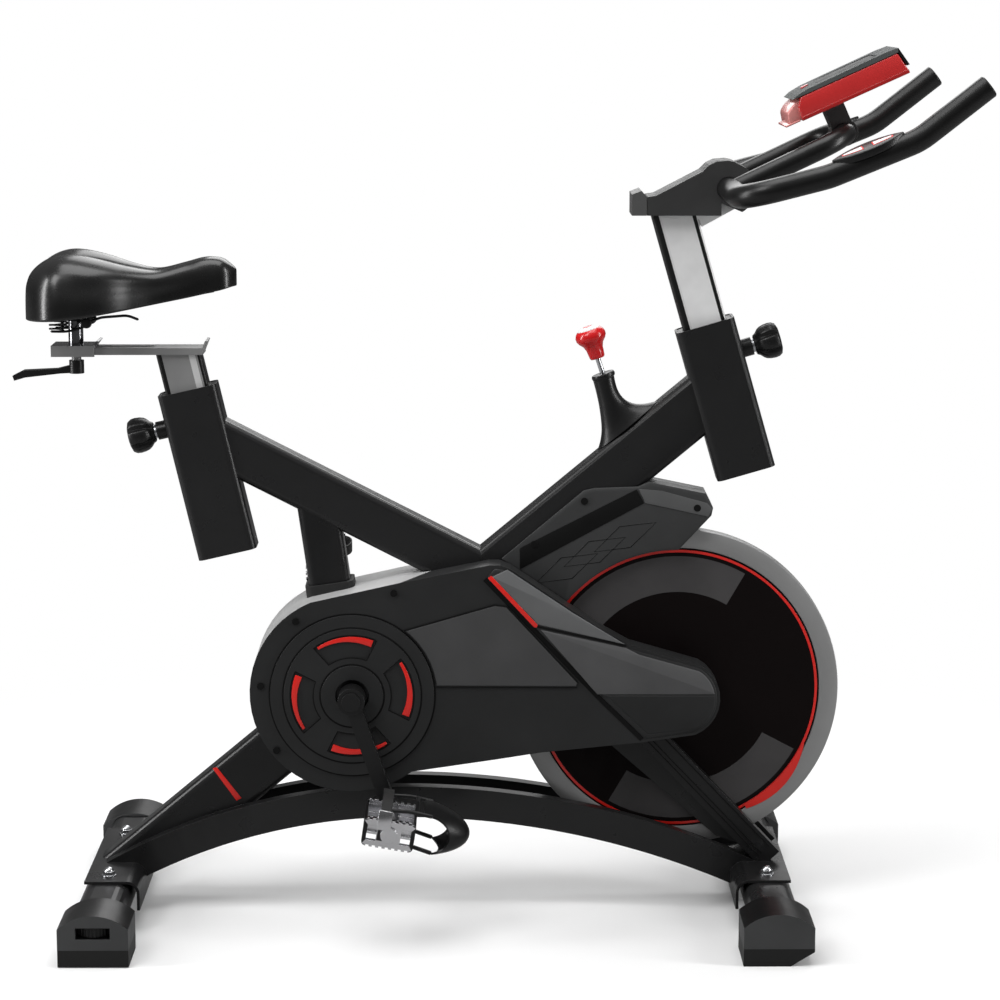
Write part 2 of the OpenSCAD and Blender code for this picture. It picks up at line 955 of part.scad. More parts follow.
module crank_fasteners() {
    color([0.7, 0.71, 0.73]) {
        crank_fastener();
        opposite()
            crank_fastener();
    }
}

// pedal body in its own frame: X forward, Z up, axle along Y
pedal_w = 64;
pedal_h = 36;
module pedal_frame() {
    translate([pedal_p[0], 0, pedal_p[1]])
        rotate([0, pedal_tilt, 0])
            children();
}

pedal_teeth = [-24, -16, -8, 0, 8, 16, 24];
module pedal() {
    pedal_frame()
        difference() {
            union() {
                for (y = [-pedal_out, -pedal_in - 8])
                    slab(y, y + 8)
                        polygon(rounded(pedal_w, pedal_h, 6));
                // tread bars at the front and back
                for (x = [-pedal_w / 2, pedal_w / 2 - 3])
                    translate([x, -pedal_out, -12])
                        cube([3, pedal_out - pedal_in, 24]);
                cross_bar([0, 0], 11, -pedal_out, -pedal_in);
                for (y = [-172, -152, -132])
                    translate([-pedal_w / 2 + 2, y - 2, -7])
                        cube([pedal_w - 4, 4, 14]);
                cross_bar([0, 0], 10, -pedal_out - 4, -pedal_out);
            }
            cross_bar([0, 0], spindle_r + run, -pedal_out + 5.5, -pedal_in + 1);
            // teeth along the top and bottom edges
            for (x = pedal_teeth, z = [-pedal_h / 2, pedal_h / 2])
                translate([x - 2, -pedal_out - 1, z - 2])
                    cube([4, pedal_out - pedal_in + 2, 4]);
            // side windows of the outer plate
            for (x = [-27, 15], z = [-10, 1])
                translate([x, -pedal_out - 1, z])
                    cube([12, 10, 8]);
        }
}

module right_pedal() {
    color([0.7, 0.71, 0.73])
        pedal();
}

module left_pedal() {
    color([0.7, 0.71, 0.73])
        to_left_pedal()
            pedal();
}

// toe cage: a band looping forward over the foot
clip_in = 116;
clip_out = 188;
function clip_line(d) = concat(
    [[30 - d, 24 + d]],
    arc([66, 8], 30 + d, 85, -60, 14),
    [[30 - d, -20 - d]]);
module toe_clip() {
    pedal_frame()
        difference() {
            slab(-clip_out, -clip_in)
                polygon(concat([[-14, 26.5]], clip_line(2.5), [[pedal_w / 2 + 0.1, -19]]));
            slab(-clip_out - 1, -clip_in + 1)
                polygon(concat([[-16, 24]], clip_line(0), [[pedal_w / 2 + 0.1, -20]], [[-16, -20]]));
            // side opening of the cage
            slab(-clip_out + 14, -clip_in - 14)
                polygon([[40, 0], [110, -40], [110, 20]]);
        }
}

module right_toe_clip() {
    color([0.1, 0.1, 0.1])
        toe_clip();
}

module left_toe_clip() {
    color([0.1, 0.1, 0.1])
        to_left_pedal()
            toe_clip();
}

// ---------- drive ----------

drive_span = len2(wheel_p - crank_p);
drive_line = angle2(crank_p, wheel_p);
drive_wrap = acos((drive_r - driven_r) / drive_span);

// closed belt path standing off the pulleys by d
function belt_path(d) = concat(
    arc(crank_p, drive_r + d, drive_line + drive_wrap, drive_line + 360 - drive_wrap, 60),
    arc(wheel_p, driven_r + d, drive_line - drive_wrap, drive_line + drive_wrap, 24));

module drive_belt() {
    color([0.07, 0.07, 0.07])
        slab(-belt_y - belt_w / 2 + 1, -belt_y + belt_w / 2 - 1)
            difference() {
                polygon(belt_path(belt_t));
                polygon(belt_path(0.3));
            }
}

module flywheel() {
    color([0.5, 0.51, 0.53])
        difference() {
            union() {
                difference() {
                    cross_bar(wheel_p, wheel_r, -wheel_w / 2, wheel_w / 2, 360);
                    cross_bar(wheel_p, rim_in, -wheel_w / 2 - 1, wheel_w / 2 + 1, 360);
                }
                cross_bar(wheel_p, rim_in + 1, -web_y, web_y, 180);
                cross_bar(wheel_p, hub_r, -hub_y, hub_y, 90);
            }
            cross_bar(wheel_p, axle_r + run, -hub_y - 1, hub_y + 1);
        }
}

module flywheel_pulley() {
    color([0.55, 0.56, 0.58])
        difference() {
            union() {
                cross_bar(wheel_p, driven_r, -belt_y - belt_w / 2, -belt_y + belt_w / 2, 120);
                cross_bar(wheel_p, 14, -belt_y, -drop_y - 0.5);
            }
            cross_bar(wheel_p, axle_r + run, -70, -30);
            for (y = [-belt_y - belt_w / 2 - 1])
                difference() {
                    cross_bar(wheel_p, driven_r - 4, y, y + 5);
                    cross_bar(wheel_p, 12, y - 1, y + 6);
                }
        }
}

// dark dished plates closing both faces of the flywheel
module flywheel_disc() {
    difference() {
        union() {
            cross_bar(wheel_p, rim_in - 0.3, -disc_y, -disc_y + 2, 360);
            cross_bar(wheel_p, 172, -disc_y + 1, -web_y - 0.05, 180);
        }
        cross_bar(wheel_p, 168, -disc_y + 2, -web_y + 1, 180);
        cross_bar(wheel_p, hub_r + 1, -disc_y - 1, -web_y + 1, 90);
    }
}

module flywheel_discs() {
    color([0.1, 0.1, 0.11])
        both_sides()
            flywheel_disc();
}

module flywheel_axle() {
    color([0.7, 0.71, 0.73]) {
        cross_bar(wheel_p, axle_r, -cover_y + shell + 0.6, drop_y + 4.5);
        cross_bar(wheel_p, 9, drop_y + 0.5, drop_y + 4, 6);
    }
}

// ---------- seat ----------

post_len = 210;
post_wall = 2.5;

// adjustable post from a level top down into its sleeve
module post_tube(top, lean, top_z, down) {
    difference() {
        down_run(top, lean, -160, down + 160, post_d, post_w, 4);
        down_run(top, lean, -160, down + 161, post_d - 2 * post_wall, post_w - 2 * post_wall, 2);
        translate([top[0] - 120, -40, top_z])
            cube([240, 80, 300]);
    }
}

module seat_post() {
    color([0.62, 0.63, 0.65]) {
        post_tube(seat_top, seat_lean, track_z + 1, post_len);
        difference() {
            union() {
                translate([track_x0, -track_y, track_z])
                    cube([track_x1 - track_x0, 2 * track_y, track_h]);
                // end stop lip
                slab(-track_y, track_y)
                    polygon([[track_x1 - 4, track_z + 2], [track_x1, track_z + 2],
                             [track_x1 + 6, track_z + 17], [track_x1 + 3, track_z + 17.5]]);
            }
            // slot for the slider stud
            hull()
                for (x = [stem_x, -422])
                    translate([x, 0, track_z - 1])
                        cylinder(r = stud_seat_r + 1, h = track_h + 2);
        }
    }
}

slider_x0 = track_x0 - 2.7;
slider_x1 = -488.8;
slider_t = 3;
module saddle_slider() {
    top = track_z + track_h + 0.2;
    color([0.55, 0.56, 0.58]) {
        translate([slider_x0, -track_y - slider_t - 0.2, top])
            cube([slider_x1 - slider_x0, 2 * (track_y + slider_t + 0.2), slider_t]);
        both_sides()
            translate([slider_x0, -track_y - slider_t - 0.2, track_z - 2])
                cube([slider_x1 - slider_x0, slider_t, track_h + 4]);
        // finger lip
        slab(-track_y, track_y)
            polygon([[slider_x1 - 3, top], [slider_x1, top],
                     [slider_x1 + 6, top + 8], [slider_x1 + 3, top + 9]]);
        translate([stem_x, 0, top])
            cylinder(r = stem_r, h = stem_top - top);
        translate([stem_x, 0, lever_z + 2])
            cylinder(r = stud_seat_r, h = top - lever_z);
    }
}

// round bar bent through side view points, drawn at distance y from the mid-plane
module elbow(R, r, a) {
    translate([-R, 0, 0])
        rotate([90, 0, 0])
            rotate_extrude(angle = a)
                translate([R, 0])
                    circle(r = r);
}

function turn(p, i) = angle2(p[i], p[i + 1]) - angle2(p[i - 1], p[i]);
function bend_cut(p, i, R) = (i == 0 || i == len(p) - 1) ? 0 : R * tan(abs(turn(p, i)) / 2);

// weld bead over the joint between a straight tube and a bend
bead = 0.12;
joint_gap = 0.3;
module joint_ring(r, z) {
    translate([0, 0, z - 1])
        cylinder(r = r + bead, h = 2);
}

module bent_bar(p, r, R, y, start = 0) {
    last = len(p) - 2;
    for (i = [0 : last]) {
        from = i == 0 ? start : bend_cut(p, i, R);
        to = len2(p[i + 1] - p[i]) - bend_cut(p, i + 1, R);
        first_gap = from > 0 ? joint_gap : 0;
        last_gap = i < last ? joint_gap : 0;
        translate([0, y, 0])
            along(p[i], angle2(p[i], p[i + 1])) {
                translate([0, 0, from + first_gap])
                    cylinder(r = r, h = to - from - first_gap - last_gap);
                if (from > 0)
                    joint_ring(r, from);
                if (i < last) {
                    joint_ring(r, to);
                    translate([0, 0, to])
                        mirror([turn(p, i + 1) < 0 ? 1 : 0, 0, 0])
                            elbow(R, r, abs(turn(p, i + 1)));
                }
            }
    }
}

rail_points = [[-545, 748], [-520, 748], [-481, 761], [-432, 761], [-404, 781]];
clamp_bolt_p = [-498.2, 752.4];
module saddle_frame() {
    color([0.72, 0.73, 0.75]) {
        for (y = [-rod_y, rod_y]) {
            bent_bar(rail_points, rail_rod, 12, y);
            // coil spring under the back of the saddle
            translate([-532, y, 750])
                cylinder(r = 5.8, h = 19.5);
            for (i = [0 : 3])
                translate([-532, y, 752.5 + 4.2 * i])
                    rotate_extrude()
                        translate([7, 0])
                            circle(r = 1.7, $fn = 24);
        }
        // clamp around the stem, with its bolt
        difference() {
            translate([-526, -rod_y - 5, 743])
                cube([34, 2 * rod_y + 10, 18]);
            translate([stem_x, 0, 740])
                cylinder(r = stem_r + run, h = 30);
        }
        cross_bar(clamp_bolt_p, 6, -rod_y - 9, rod_y + 9);
    }
}

// padded saddle: a broad tail with two lobes and a slim nose
module saddle() {
    lobe_y = saddle_w / 2 - 43;
    color([0.08, 0.08, 0.08]) {
        hull() {
            for (y = [-lobe_y, lobe_y])
                translate([-520, y, 805])
                    scale([56, 43, 34.5])
                        sphere(r = 1, $fn = 32);
            translate([-440, 0, 803])
                scale([52, 44, 24])
                    sphere(r = 1, $fn = 32);
        }
        hull() {
            translate([-440, 0, 803])
                scale([52, 44, 24])
                    sphere(r = 1, $fn = 32);
            translate([saddle_nose - 24, 0, 822])
                scale([24, 19, 12])
                    sphere(r = 1, $fn = 32);
        }
    }
}

lever_bore = stud_seat_r + run;
module saddle_lever() {
    lever_mid = lever_z + 6;
    color([0.1, 0.1, 0.1])
        difference() {
            union() {
                translate([stem_x, 0, lever_z])
                    cylinder(r = 9.3, h = lever_h);
                slab(-6, 6)
                    polygon([[stem_x, lever_z + 12], [stem_x - 24, lever_mid], [-580, lever_mid - 2],
                             [lever_tip, lever_mid - 9], [lever_tip + 2, lever_mid - 15],
                             [-578, lever_mid - 11], [stem_x - 20, lever_mid - 6],
                             [stem_x, lever_z + 1]]);
            }
            translate([stem_x, 0, lever_z + 1.5])
                cylinder(r = lever_bore, h = lever_h);
        }
}

// pull knob with its pin, drawn pointing along +Z from the sleeve centre
module pull_knob() {
    face = sleeve_d / 2 + boss_l + 0.5;
    translate([0, 0, post_d / 2 + 0.05])
        cylinder(r = pin_r, h = face - post_d / 2 + 8);
    rotate_extrude()
        polygon([[0, face], [13, face], [14, face + 5], [22, face + 9], [knob_r, face + 15],
                 [knob_r, face + 26], [22, face + 33], [14, face + knob_l], [0, face + knob_l]]);
}

module seat_knob() {
    color([0.09, 0.09, 0.09])
        along(post_point(seat_top, seat_lean, pin_down, 0), 180 + seat_lean)
            pull_knob();
}

// ---------- handlebar ----------

bar_post_len = 150;
stem_line = [[206, 884], [262, 884], [266, 874], [306, 896], [312, 932], [290, 941],
             [262, 934], [206, 903]];
module bar_post() {
    color([0.62, 0.63, 0.65])
        difference() {
            union() {
                post_tube(head_top, head_lean, stem_z + 4, bar_post_len);
                slab(-16, 16)
                    polygon(stem_line);
                cross_bar(bar_p, 20, -16, 16);
            }
            cross_bar(bar_p, bar_r + run, -40, 40);
        }
}

shroud_line = concat(
    [[197.5, stem_z], [288.8, stem_z], [289, 904]],
    arc(bar_p, 33, -60, 50, 14),
    [[304.5, 955], [296.5, 956.5], [282.5, 955.5], [273, 951], [265, 943], [208, 913.5],
     [197.5, 912]]);
module stem_shroud() {
    color([0.22, 0.22, 0.23])
        difference() {
            slab(-shroud_y, shroud_y)
                polygon(shroud_line);
            slab(-shroud_y + 2.5, shroud_y - 2.5)
                polygon(inset(shroud_line, 2.5));
            cross_bar(bar_p, bar_r + 0.5, -40, 40);
            // openings for the post, the gusset and the rear cap
            translate([201, -17, stem_z - 5])
                cube([90, 34, 18]);
            slab(-17, 17)
                polygon([[262, 870], [310, 870], [316, 910], [262, 910]]);
            translate([190, -12, 895])
                cube([14, 24, 10]);
        }
}

module stem_cap() {
    color([0.3, 0.3, 0.31]) {
        slab(-shroud_y, shroud_y)
            polygon([[178.5, stem_z], [196.8, stem_z], [196.8, 912], [190, 919.5], [178.5, 915]]);
        translate([196, -11.7, 895.3])
            cube([8, 23.4, 9.4]);
    }
}

arm_points = [bar_p, arm_1, arm_2, arm_end];
loop_a = angle2(bar_p, loop_end);
loop_l = len2(loop_end - bar_p);

// quarter bend from the cross direction into the local Z direction, ending at distance y
module side_bend(y, R, r, z, flip) {
    translate([0, y - R, z])
        rotate([90, 0, 90])
            rotate([0, 0, flip ? 0 : -90])
                rotate_extrude(angle = 90)
                    translate([R, 0])
                        circle(r = r);
}

module handlebar() {
    color([0.1, 0.1, 0.1]) {
        corner_y = grip_y - corner_r;
        cross_bar(bar_p, bar_r, -corner_y + joint_gap, corner_y - joint_gap);
        both_sides() {
            cross_bar(bar_p, bar_r + bead, corner_y - 1, corner_y + 1);
            along(bar_p, angle2(bar_p, arm_1))
                side_bend(grip_y, corner_r, bar_r, corner_r, false);
            bent_bar(arm_points, bar_r, bend_r, grip_y, corner_r);
            along(bar_p, loop_a) {
                translate([0, loop_y, 0])
                    cylinder(r = loop_r, h = loop_l - loop_bend - joint_gap);
                translate([0, loop_y, 0])
                    joint_ring(loop_r, loop_l - loop_bend);
                side_bend(loop_y, loop_bend, loop_r, loop_l - loop_bend, true);
            }
            cross_bar(loop_end, loop_r + bead, loop_y - loop_bend - 1, loop_y - loop_bend + 1);
        }
        cross_bar(loop_end, loop_r, -loop_y + loop_bend + joint_gap, loop_y - loop_bend - joint_gap);
    }
}

// lens shaped sensor plate resting on the bar, its outer edge turned down
lens_r = 68;
lens_off = 50.5;
lens_mid = 54.3;
lens_lean = 10;
module pulse_pads() {
    color([0.75, 0.75, 0.76])
        both_sides()
            translate([0, -grip_y, 0])
                along(arm_1, angle2(arm_1, arm_2))
                    difference() {
                        rotate([0, 0, lens_lean])
                            translate([-bar_r - 3.5, 0, lens_mid])
                                rotate([0, 90, 0])
                                    linear_extrude(9)
                                        intersection() {
                                            translate([0, lens_off])
                                                circle(lens_r, $fn = 180);
                                            translate([0, -lens_off])
                                                circle(lens_r, $fn = 180);
                                        }
                        cylinder(r = bar_r + run, h = 130);
                    }
}

module head_knob() {
    color([0.09, 0.09, 0.09])
        along(post_point(head_top, head_lean, pin_down, 0), head_lean)
            pull_knob();
}

// ---------- console ----------

ring_u = 41.7;
ring_w = -37.6;
ring_r = 16.5;
ring_y = 20;
skin = 2.5;

module console_frame() {
    translate([console_p[0], 0, console_p[1]])
        rotate([0, -console_a, 0])
            children();
}

module console_bracket() {
    color([0.3, 0.32, 0.32])
        difference() {
            union() {
                cross_bar(loop_end, ring_r, -ring_y, ring_y);
                console_frame()
                    translate([ring_u - 12, -ring_y, ring_w])
                        cube([25, 2 * ring_y, -ring_w - 0.1]);
            }
            cross_bar(loop_end, loop_r + run, -ring_y - 1, ring_y + 1);
        }
}

module console_base() {
    color([0.75, 0.15, 0.14])
        console_frame()
            difference() {
                union() {
                    slab(-console_y, console_y)
                        polygon([[-2, 0], [console_l, 0], [console_l, 5], [console_l - 4, console_h],
                                 [6, console_h], [-1, 16]]);
                    slab(-console_y + 6, console_y - 6)
                        polygon([[-24, 0], [0, 0], [8, console_h], [-10, 19], [-17, 14], [-19, 3]]);
                }
                slab(-console_y + skin, console_y - skin)
                    polygon([[3, skin], [console_l - skin - 1, skin],
                             [console_l - 4 - skin - 1, console_h + 1], [12, console_h + 1]]);
            }
}

lid_z = console_h + 0.1;
screen_z = 31;
screen_u = [34, 112];
screen_y = 34;
module console_top() {
    color([0.4, 0.42, 0.42])
        console_frame()
            difference() {
                union() {
                    slab(-console_y, console_y)
                        polygon([[-4, lid_z], [console_l - 3, lid_z], [console_l - 1, 33], [122, 34],
                                 [20, 33], [4, 31]]);
                    slab(-console_y, console_y)
                        polygon([[console_l - 3.2, lid_z], [console_l + 0.6, 9], [console_l + 4, 9],
                                 [console_l - 1, 33]]);
                }
                // screen recess and button hole
                translate([screen_u[0], -screen_y, screen_z])
                    cube([screen_u[1] - screen_u[0], 2 * screen_y, 10]);
                translate([20, 0, lid_z - 1])
                    cylinder(r = 5.3, h = 20);
            }
}

module console_screen() {
    color([0.15, 0.17, 0.17])
        console_frame()
            translate([screen_u[0] + 0.3, -screen_y + 0.3, screen_z + 0.1])
                cube([screen_u[1] - screen_u[0] - 0.6, 2 * screen_y - 0.6, 1.8]);
}

module console_button() {
    color([0.8, 0.2, 0.18])
        console_frame()
            translate([20, 0, lid_z + 2])
                cylinder(r = 5, h = 4.4);
}

// ---------- brake ----------

// frame of the brake rod: Z runs up the rod, zero at the top of the boot
module brake_frame() {
    along(brake_p, 90 + brake_lean)
        children();
}

knob_foot = 20;
knob_head = 62;
// side view of the boot, a horn that sweeps forward onto the beam
boot_line = [[128.5, 685], [159, 695], [161.5, 680], [165, 668], [171, 659], [180, 653.5],
             [192, 651], [204, 652], [213.2, 653.8], [139.4, 592.4], [146, 604], [143, 625]];
boot_half = 21;
module brake_boot() {
    color([0.1, 0.1, 0.1])
        difference() {
            intersection() {
                brake_frame()
                    rotate_extrude($fn = 96)
                        polygon([[0, -130], [90, -130], [90, -82], [50, -74], [34, -66], [24, -55],
                                 [18, -42], [15, -26], [13.4, -8], [14, -4], [13.5, 0], [0, 0]]);
                slab(-boot_half, boot_half)
                    polygon(boot_line);
            }
            brake_frame()
                translate([0, 0, -140])
                    cylinder(r = rod_r + 2, h = 150);
        }
}

module brake_rod() {
    color([0.72, 0.73, 0.75])
        brake_frame()
            translate([0, 0, -188])
                cylinder(r = rod_r, h = 188 + knob_foot + 28);
}

module brake_knob() {
    color([0.8, 0.08, 0.06])
        brake_frame()
            difference() {
                rotate_extrude()
                    polygon([[0, knob_foot], [9, knob_foot], [10, knob_foot + 8], [12, 42], [18, 45],
                             [18.5, 52], [15, 58], [8, 61.5], [0, knob_head]]);
                translate([0, 0, knob_foot - 1])
                    cylinder(r = rod_r + run, h = 32);
            }
}

shoe_r = wheel_r + pad_gap;
shoe_a = 98.7;
module arc_block(r0, r1, a0, a1, half) {
    slab(-half, half)
        polygon(concat(arc(wheel_p, r1, a0, a1, 12), arc(wheel_p, r0, a1, a0, 12)));
}

module brake_shoe() {
    color([0.5, 0.51, 0.53])
        difference() {
            union() {
                arc_block(shoe_r + brake_pad_t + 0.05, shoe_r + brake_pad_t + 5, 91, 106, 9);
                brake_frame()
                    translate([0, 0, -195])
                        cylinder(r = 8, h = 26);
            }
            cross_bar(wheel_p, shoe_r + brake_pad_t + 0.05, -12, 12, 360);
            brake_frame()
                translate([0, 0, -191])
                    cylinder(r = rod_r + run, h = 30);
        }
}

module brake_pad() {
    color([0.35, 0.3, 0.25])
        arc_block(shoe_r, shoe_r + brake_pad_t, 91, 106, 9);
}

frame();
rear_stabilizer();
front_stabilizer();
dome_bolts();
right_rear_foot();
left_rear_foot();
right_front_foot();
left_front_foot();
right_level_wheel();
left_level_wheel();
right_level_pad();
left_level_pad();
right_roller();
left_roller();
post_bushes();
bearings();
right_cover();
left_cover();
cover_shield();
strut_gasket();
red_trims();
crank_disc();
wheel_guards();
cover_screws();
crank_axle();
drive_pulley();
right_crank();
left_crank();
crank_fasteners();
right_pedal();
left_pedal();
right_toe_clip();
left_toe_clip();
drive_belt();
flywheel();
flywheel_pulley();
flywheel_discs();
flywheel_axle();
seat_post();
saddle_slider();
saddle_frame();
saddle();
saddle_lever();
seat_knob();
bar_post();
stem_shroud();
stem_cap();
handlebar();
pulse_pads();
head_knob();
console_bracket();
console_base();
console_top();
console_screen();
console_button();
brake_boot();
brake_rod();
brake_knob();
brake_shoe();
brake_pad();
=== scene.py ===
import json
import math

import bmesh
import bpy
from mathutils import Matrix, Vector


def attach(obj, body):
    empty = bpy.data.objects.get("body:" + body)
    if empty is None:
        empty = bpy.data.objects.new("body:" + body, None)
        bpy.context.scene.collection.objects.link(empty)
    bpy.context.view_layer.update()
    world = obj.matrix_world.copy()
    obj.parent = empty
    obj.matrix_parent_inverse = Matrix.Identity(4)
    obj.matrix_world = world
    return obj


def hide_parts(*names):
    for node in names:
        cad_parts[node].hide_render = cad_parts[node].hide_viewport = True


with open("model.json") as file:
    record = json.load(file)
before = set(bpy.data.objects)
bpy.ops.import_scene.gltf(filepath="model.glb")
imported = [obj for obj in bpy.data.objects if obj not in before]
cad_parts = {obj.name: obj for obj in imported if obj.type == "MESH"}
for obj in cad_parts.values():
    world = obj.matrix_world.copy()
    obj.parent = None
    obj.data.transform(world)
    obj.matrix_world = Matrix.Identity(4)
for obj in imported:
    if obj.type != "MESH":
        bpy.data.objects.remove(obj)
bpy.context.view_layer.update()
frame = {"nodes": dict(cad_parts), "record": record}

MM = 0.001
NODES = frame["nodes"]

# shared places, side view [x, z] in millimetres, as in the CAD
CRANK = (-170.0, 290.0)
WHEEL = (241.0, 286.0)
BAR = (298.0, 922.0)
SEAT_POST_TOP = (-375.2, 670.9)
BAR_POST_TOP = (271.4, 752.2)
CONSOLE_SEAT = (387.1, 1007.0)

# how far parts lean in the side view, in degrees
SEAT_LEAN = 12.9
BAR_LEAN = 16.15
CONSOLE_LEAN = 24.3

BAR_HALF_WIDTH = 203.0


# ---------------------------------------------------------------- materials

def link(tree, a, b):
    tree.links.new(a, b)


def noise(tree, coords, scale, detail=3.0, stretch=None):
    """A noise texture in object space, optionally stretched along the axes."""
    node = tree.nodes.new("ShaderNodeTexNoise")
    node.inputs["Scale"].default_value = scale
    node.inputs["Detail"].default_value = detail
    if stretch:
        mapping = tree.nodes.new("ShaderNodeMapping")
        mapping.inputs["Scale"].default_value = stretch
        link(tree, coords, mapping.inputs["Vector"])
        coords = mapping.outputs["Vector"]
    link(tree, coords, node.inputs["Vector"])
    return node.outputs["Fac"]


def map_range(tree, value, source, target=(0.0, 1.0), kind="LINEAR"):
    """Carries a value from one range over to another, held inside it."""
    node = tree.nodes.new("ShaderNodeMapRange")
    node.interpolation_type = kind
    for label, limit in zip(("From Min", "From Max", "To Min", "To Max"), (*source, *target)):
        node.inputs[label].default_value = limit
    link(tree, value, node.inputs["Value"])
    return node.outputs["Result"]


def spread(tree, value, low, high):
    """The middle of a noise value, where nearly all of it lies, stretched over low to high."""
    return map_range(tree, value, (0.3, 0.7), (low, high))


def mix_color(tree, factor, under, over):
    """One colour or colour socket over another, by a factor socket."""
    node = tree.nodes.new("ShaderNodeMix")
    node.data_type = "RGBA"
    for label, value in (("A", under), ("B", over)):
        if isinstance(value, bpy.types.NodeSocket):
            link(tree, value, node.inputs[label])
        else:
            node.inputs[label].default_value = value
    link(tree, factor, node.inputs["Factor"])
    return node.outputs["Result"]


def paint_light_strip(tree, coords, tint, axis, low, high, tone):
    """A grey strip over the tint, between two distances along an axis, in millimetres: used for painted
    highlights, painted dark reflections and painted shade.
    """
    across = tree.nodes.new("ShaderNodeVectorMath")
    across.operation = "DOT_PRODUCT"
    across.inputs[1].default_value = axis
    link(tree, coords, across.inputs[0])
    strip = tree.nodes.new("ShaderNodeMath")
    strip.operation = "COMPARE"
    strip.inputs[1].default_value = (low + high) / 2 * MM
    strip.inputs[2].default_value = (high - low) / 2 * MM
    link(tree, across.outputs["Value"], strip.inputs[0])
    return mix_color(tree, strip.outputs["Value"], tint, [tone] * 3 + [1.0])


DRIFT_SCALE = 14.0
SMUDGE_SCALE = 37.0
GRAIN_HEIGHT = 0.6
WEAR_AND_HIGHLIGHT_EDGES = (0.53, 0.62)


def finish(name, color, rough=0.4, metal=0.0, grain=900.0, bump=0.04, vary=0.12, soft_edge=0.8,
           coat=0.0, wear_and_highlight=0.0, stretch=None, sheen=0.0, specular=0.5, painted_light_bands=()):
    """A procedural finish: colour drift, roughness drift, fine grain, rounded edges, edges painted paler
    for light rubbing and a painted highlight, and strips of painted light and shade.
    """
    material = bpy.data.materials.new(name)
    material.use_nodes = True
    tree = material.node_tree
    shader = tree.nodes["Principled BSDF"]
    coords = tree.nodes.new("ShaderNodeTexCoord").outputs["Object"]

    drift = noise(tree, coords, DRIFT_SCALE, 4.0)
    dark = [c * (1 - vary) for c in color] + [1.0]
    light = [min(1.0, c * (1 + vary)) for c in color] + [1.0]
    tint = mix_color(tree, spread(tree, drift, 0.0, 1.0), dark, light)

    if wear_and_highlight > 0:
        # edges are painted a little paler than the faces, partly as light rubbing, partly as a painted
        # highlight along them
        pointed = tree.nodes.new("ShaderNodeNewGeometry").outputs["Pointiness"]
        pale = [min(1.0, c * 2.2 + 0.05) for c in color] + [1.0]
        tint = mix_color(tree, map_range(tree, pointed, WEAR_AND_HIGHLIGHT_EDGES, (0.0, wear_and_highlight)), tint, pale)
    # strips of painted highlight, painted dark reflection and painted shade
    for axis, low, high, tone in painted_light_bands:
        tint = paint_light_strip(tree, coords, tint, axis, low, high, tone)
    link(tree, tint, shader.inputs["Base Color"])

    smudge = noise(tree, coords, SMUDGE_SCALE, 5.0)
    link(tree, spread(tree, smudge, rough * 0.88, rough * 1.12), shader.inputs["Roughness"])

    edge = tree.nodes.new("ShaderNodeBevel")
    edge.samples = 4
    edge.inputs["Radius"].default_value = soft_edge * MM
    relief = tree.nodes.new("ShaderNodeBump")
    relief.inputs["Strength"].default_value = bump
    relief.inputs["Distance"].default_value = GRAIN_HEIGHT * MM
    link(tree, noise(tree, coords, grain, 2.0, stretch), relief.inputs["Height"])
    link(tree, edge.outputs["Normal"], relief.inputs["Normal"])
    link(tree, relief.outputs["Normal"], shader.inputs["Normal"])

    shader.inputs["Metallic"].default_value = metal
    shader.inputs["Coat Weight"].default_value = coat
    shader.inputs["Coat Roughness"].default_value = 0.12
    shader.inputs["Sheen Weight"].default_value = sheen
    shader.inputs["Specular IOR Level"].default_value = specular
    material.diffuse_color = list(color) + [1.0]
    return material


def moulded(name, color, rough=0.44):
    """A dull moulded plastic with a fine grain."""
    return finish(name, color, rough, grain=1300, bump=0.08, specular=0.32)


# the frame paint's edges are painted paler, partly as rubbing, partly as a painted highlight
PAINT = finish("powder_black", (0.0075, 0.0075, 0.0078), 0.30, grain=1400, bump=0.06, wear_and_highlight=0.12,
               specular=0.34)
ZINC = finish("bright_zinc", (0.62, 0.63, 0.65), 0.24, 1.0, bump=0.05)


def post_light_bands(top, lean, *strips):
    """Strips (low, high, tone) of painted light along a leaning post, measured across its side face from
    its middle.
    """
    a = math.radians(lean)
    axis = (math.cos(a), 0.0, math.sin(a))
    middle = top[0] * axis[0] + top[1] * axis[2]
    return [(axis, middle + low, middle + high, tone) for low, high, tone in strips]


# the posts' rounded corners are painted dark as reflections, and a thin line beside one corner is
# painted white as a highlight
CORNER_PAINTED_REFLECTION_TONE = 0.006
PAINTED_HIGHLIGHT_TONE = 0.75
SOLE_PAINTED_SHADE_TONE = 0.012
POST = finish("silver_post", (0.86, 0.86, 0.86), 0.38, 0.10, grain=700, stretch=(1, 1, 0.06),
              painted_light_bands=post_light_bands(BAR_POST_TOP, BAR_LEAN, (-40, -19, CORNER_PAINTED_REFLECTION_TONE), (21, 25.6, CORNER_PAINTED_REFLECTION_TONE),
                               (-19, -16.5, PAINTED_HIGHLIGHT_TONE)))
POST_DARK = finish("grey_post", (0.33, 0.33, 0.33), 0.40, 0.30, grain=700, stretch=(1, 1, 0.06),
                   painted_light_bands=post_light_bands(SEAT_POST_TOP, SEAT_LEAN, (-40, -20.5, CORNER_PAINTED_REFLECTION_TONE),
                                    (23, 40, CORNER_PAINTED_REFLECTION_TONE), (12.5, 20.5, PAINTED_HIGHLIGHT_TONE)))
SLIDER = finish("slider_grey", (0.26, 0.26, 0.26), 0.44, 0.25, grain=700)
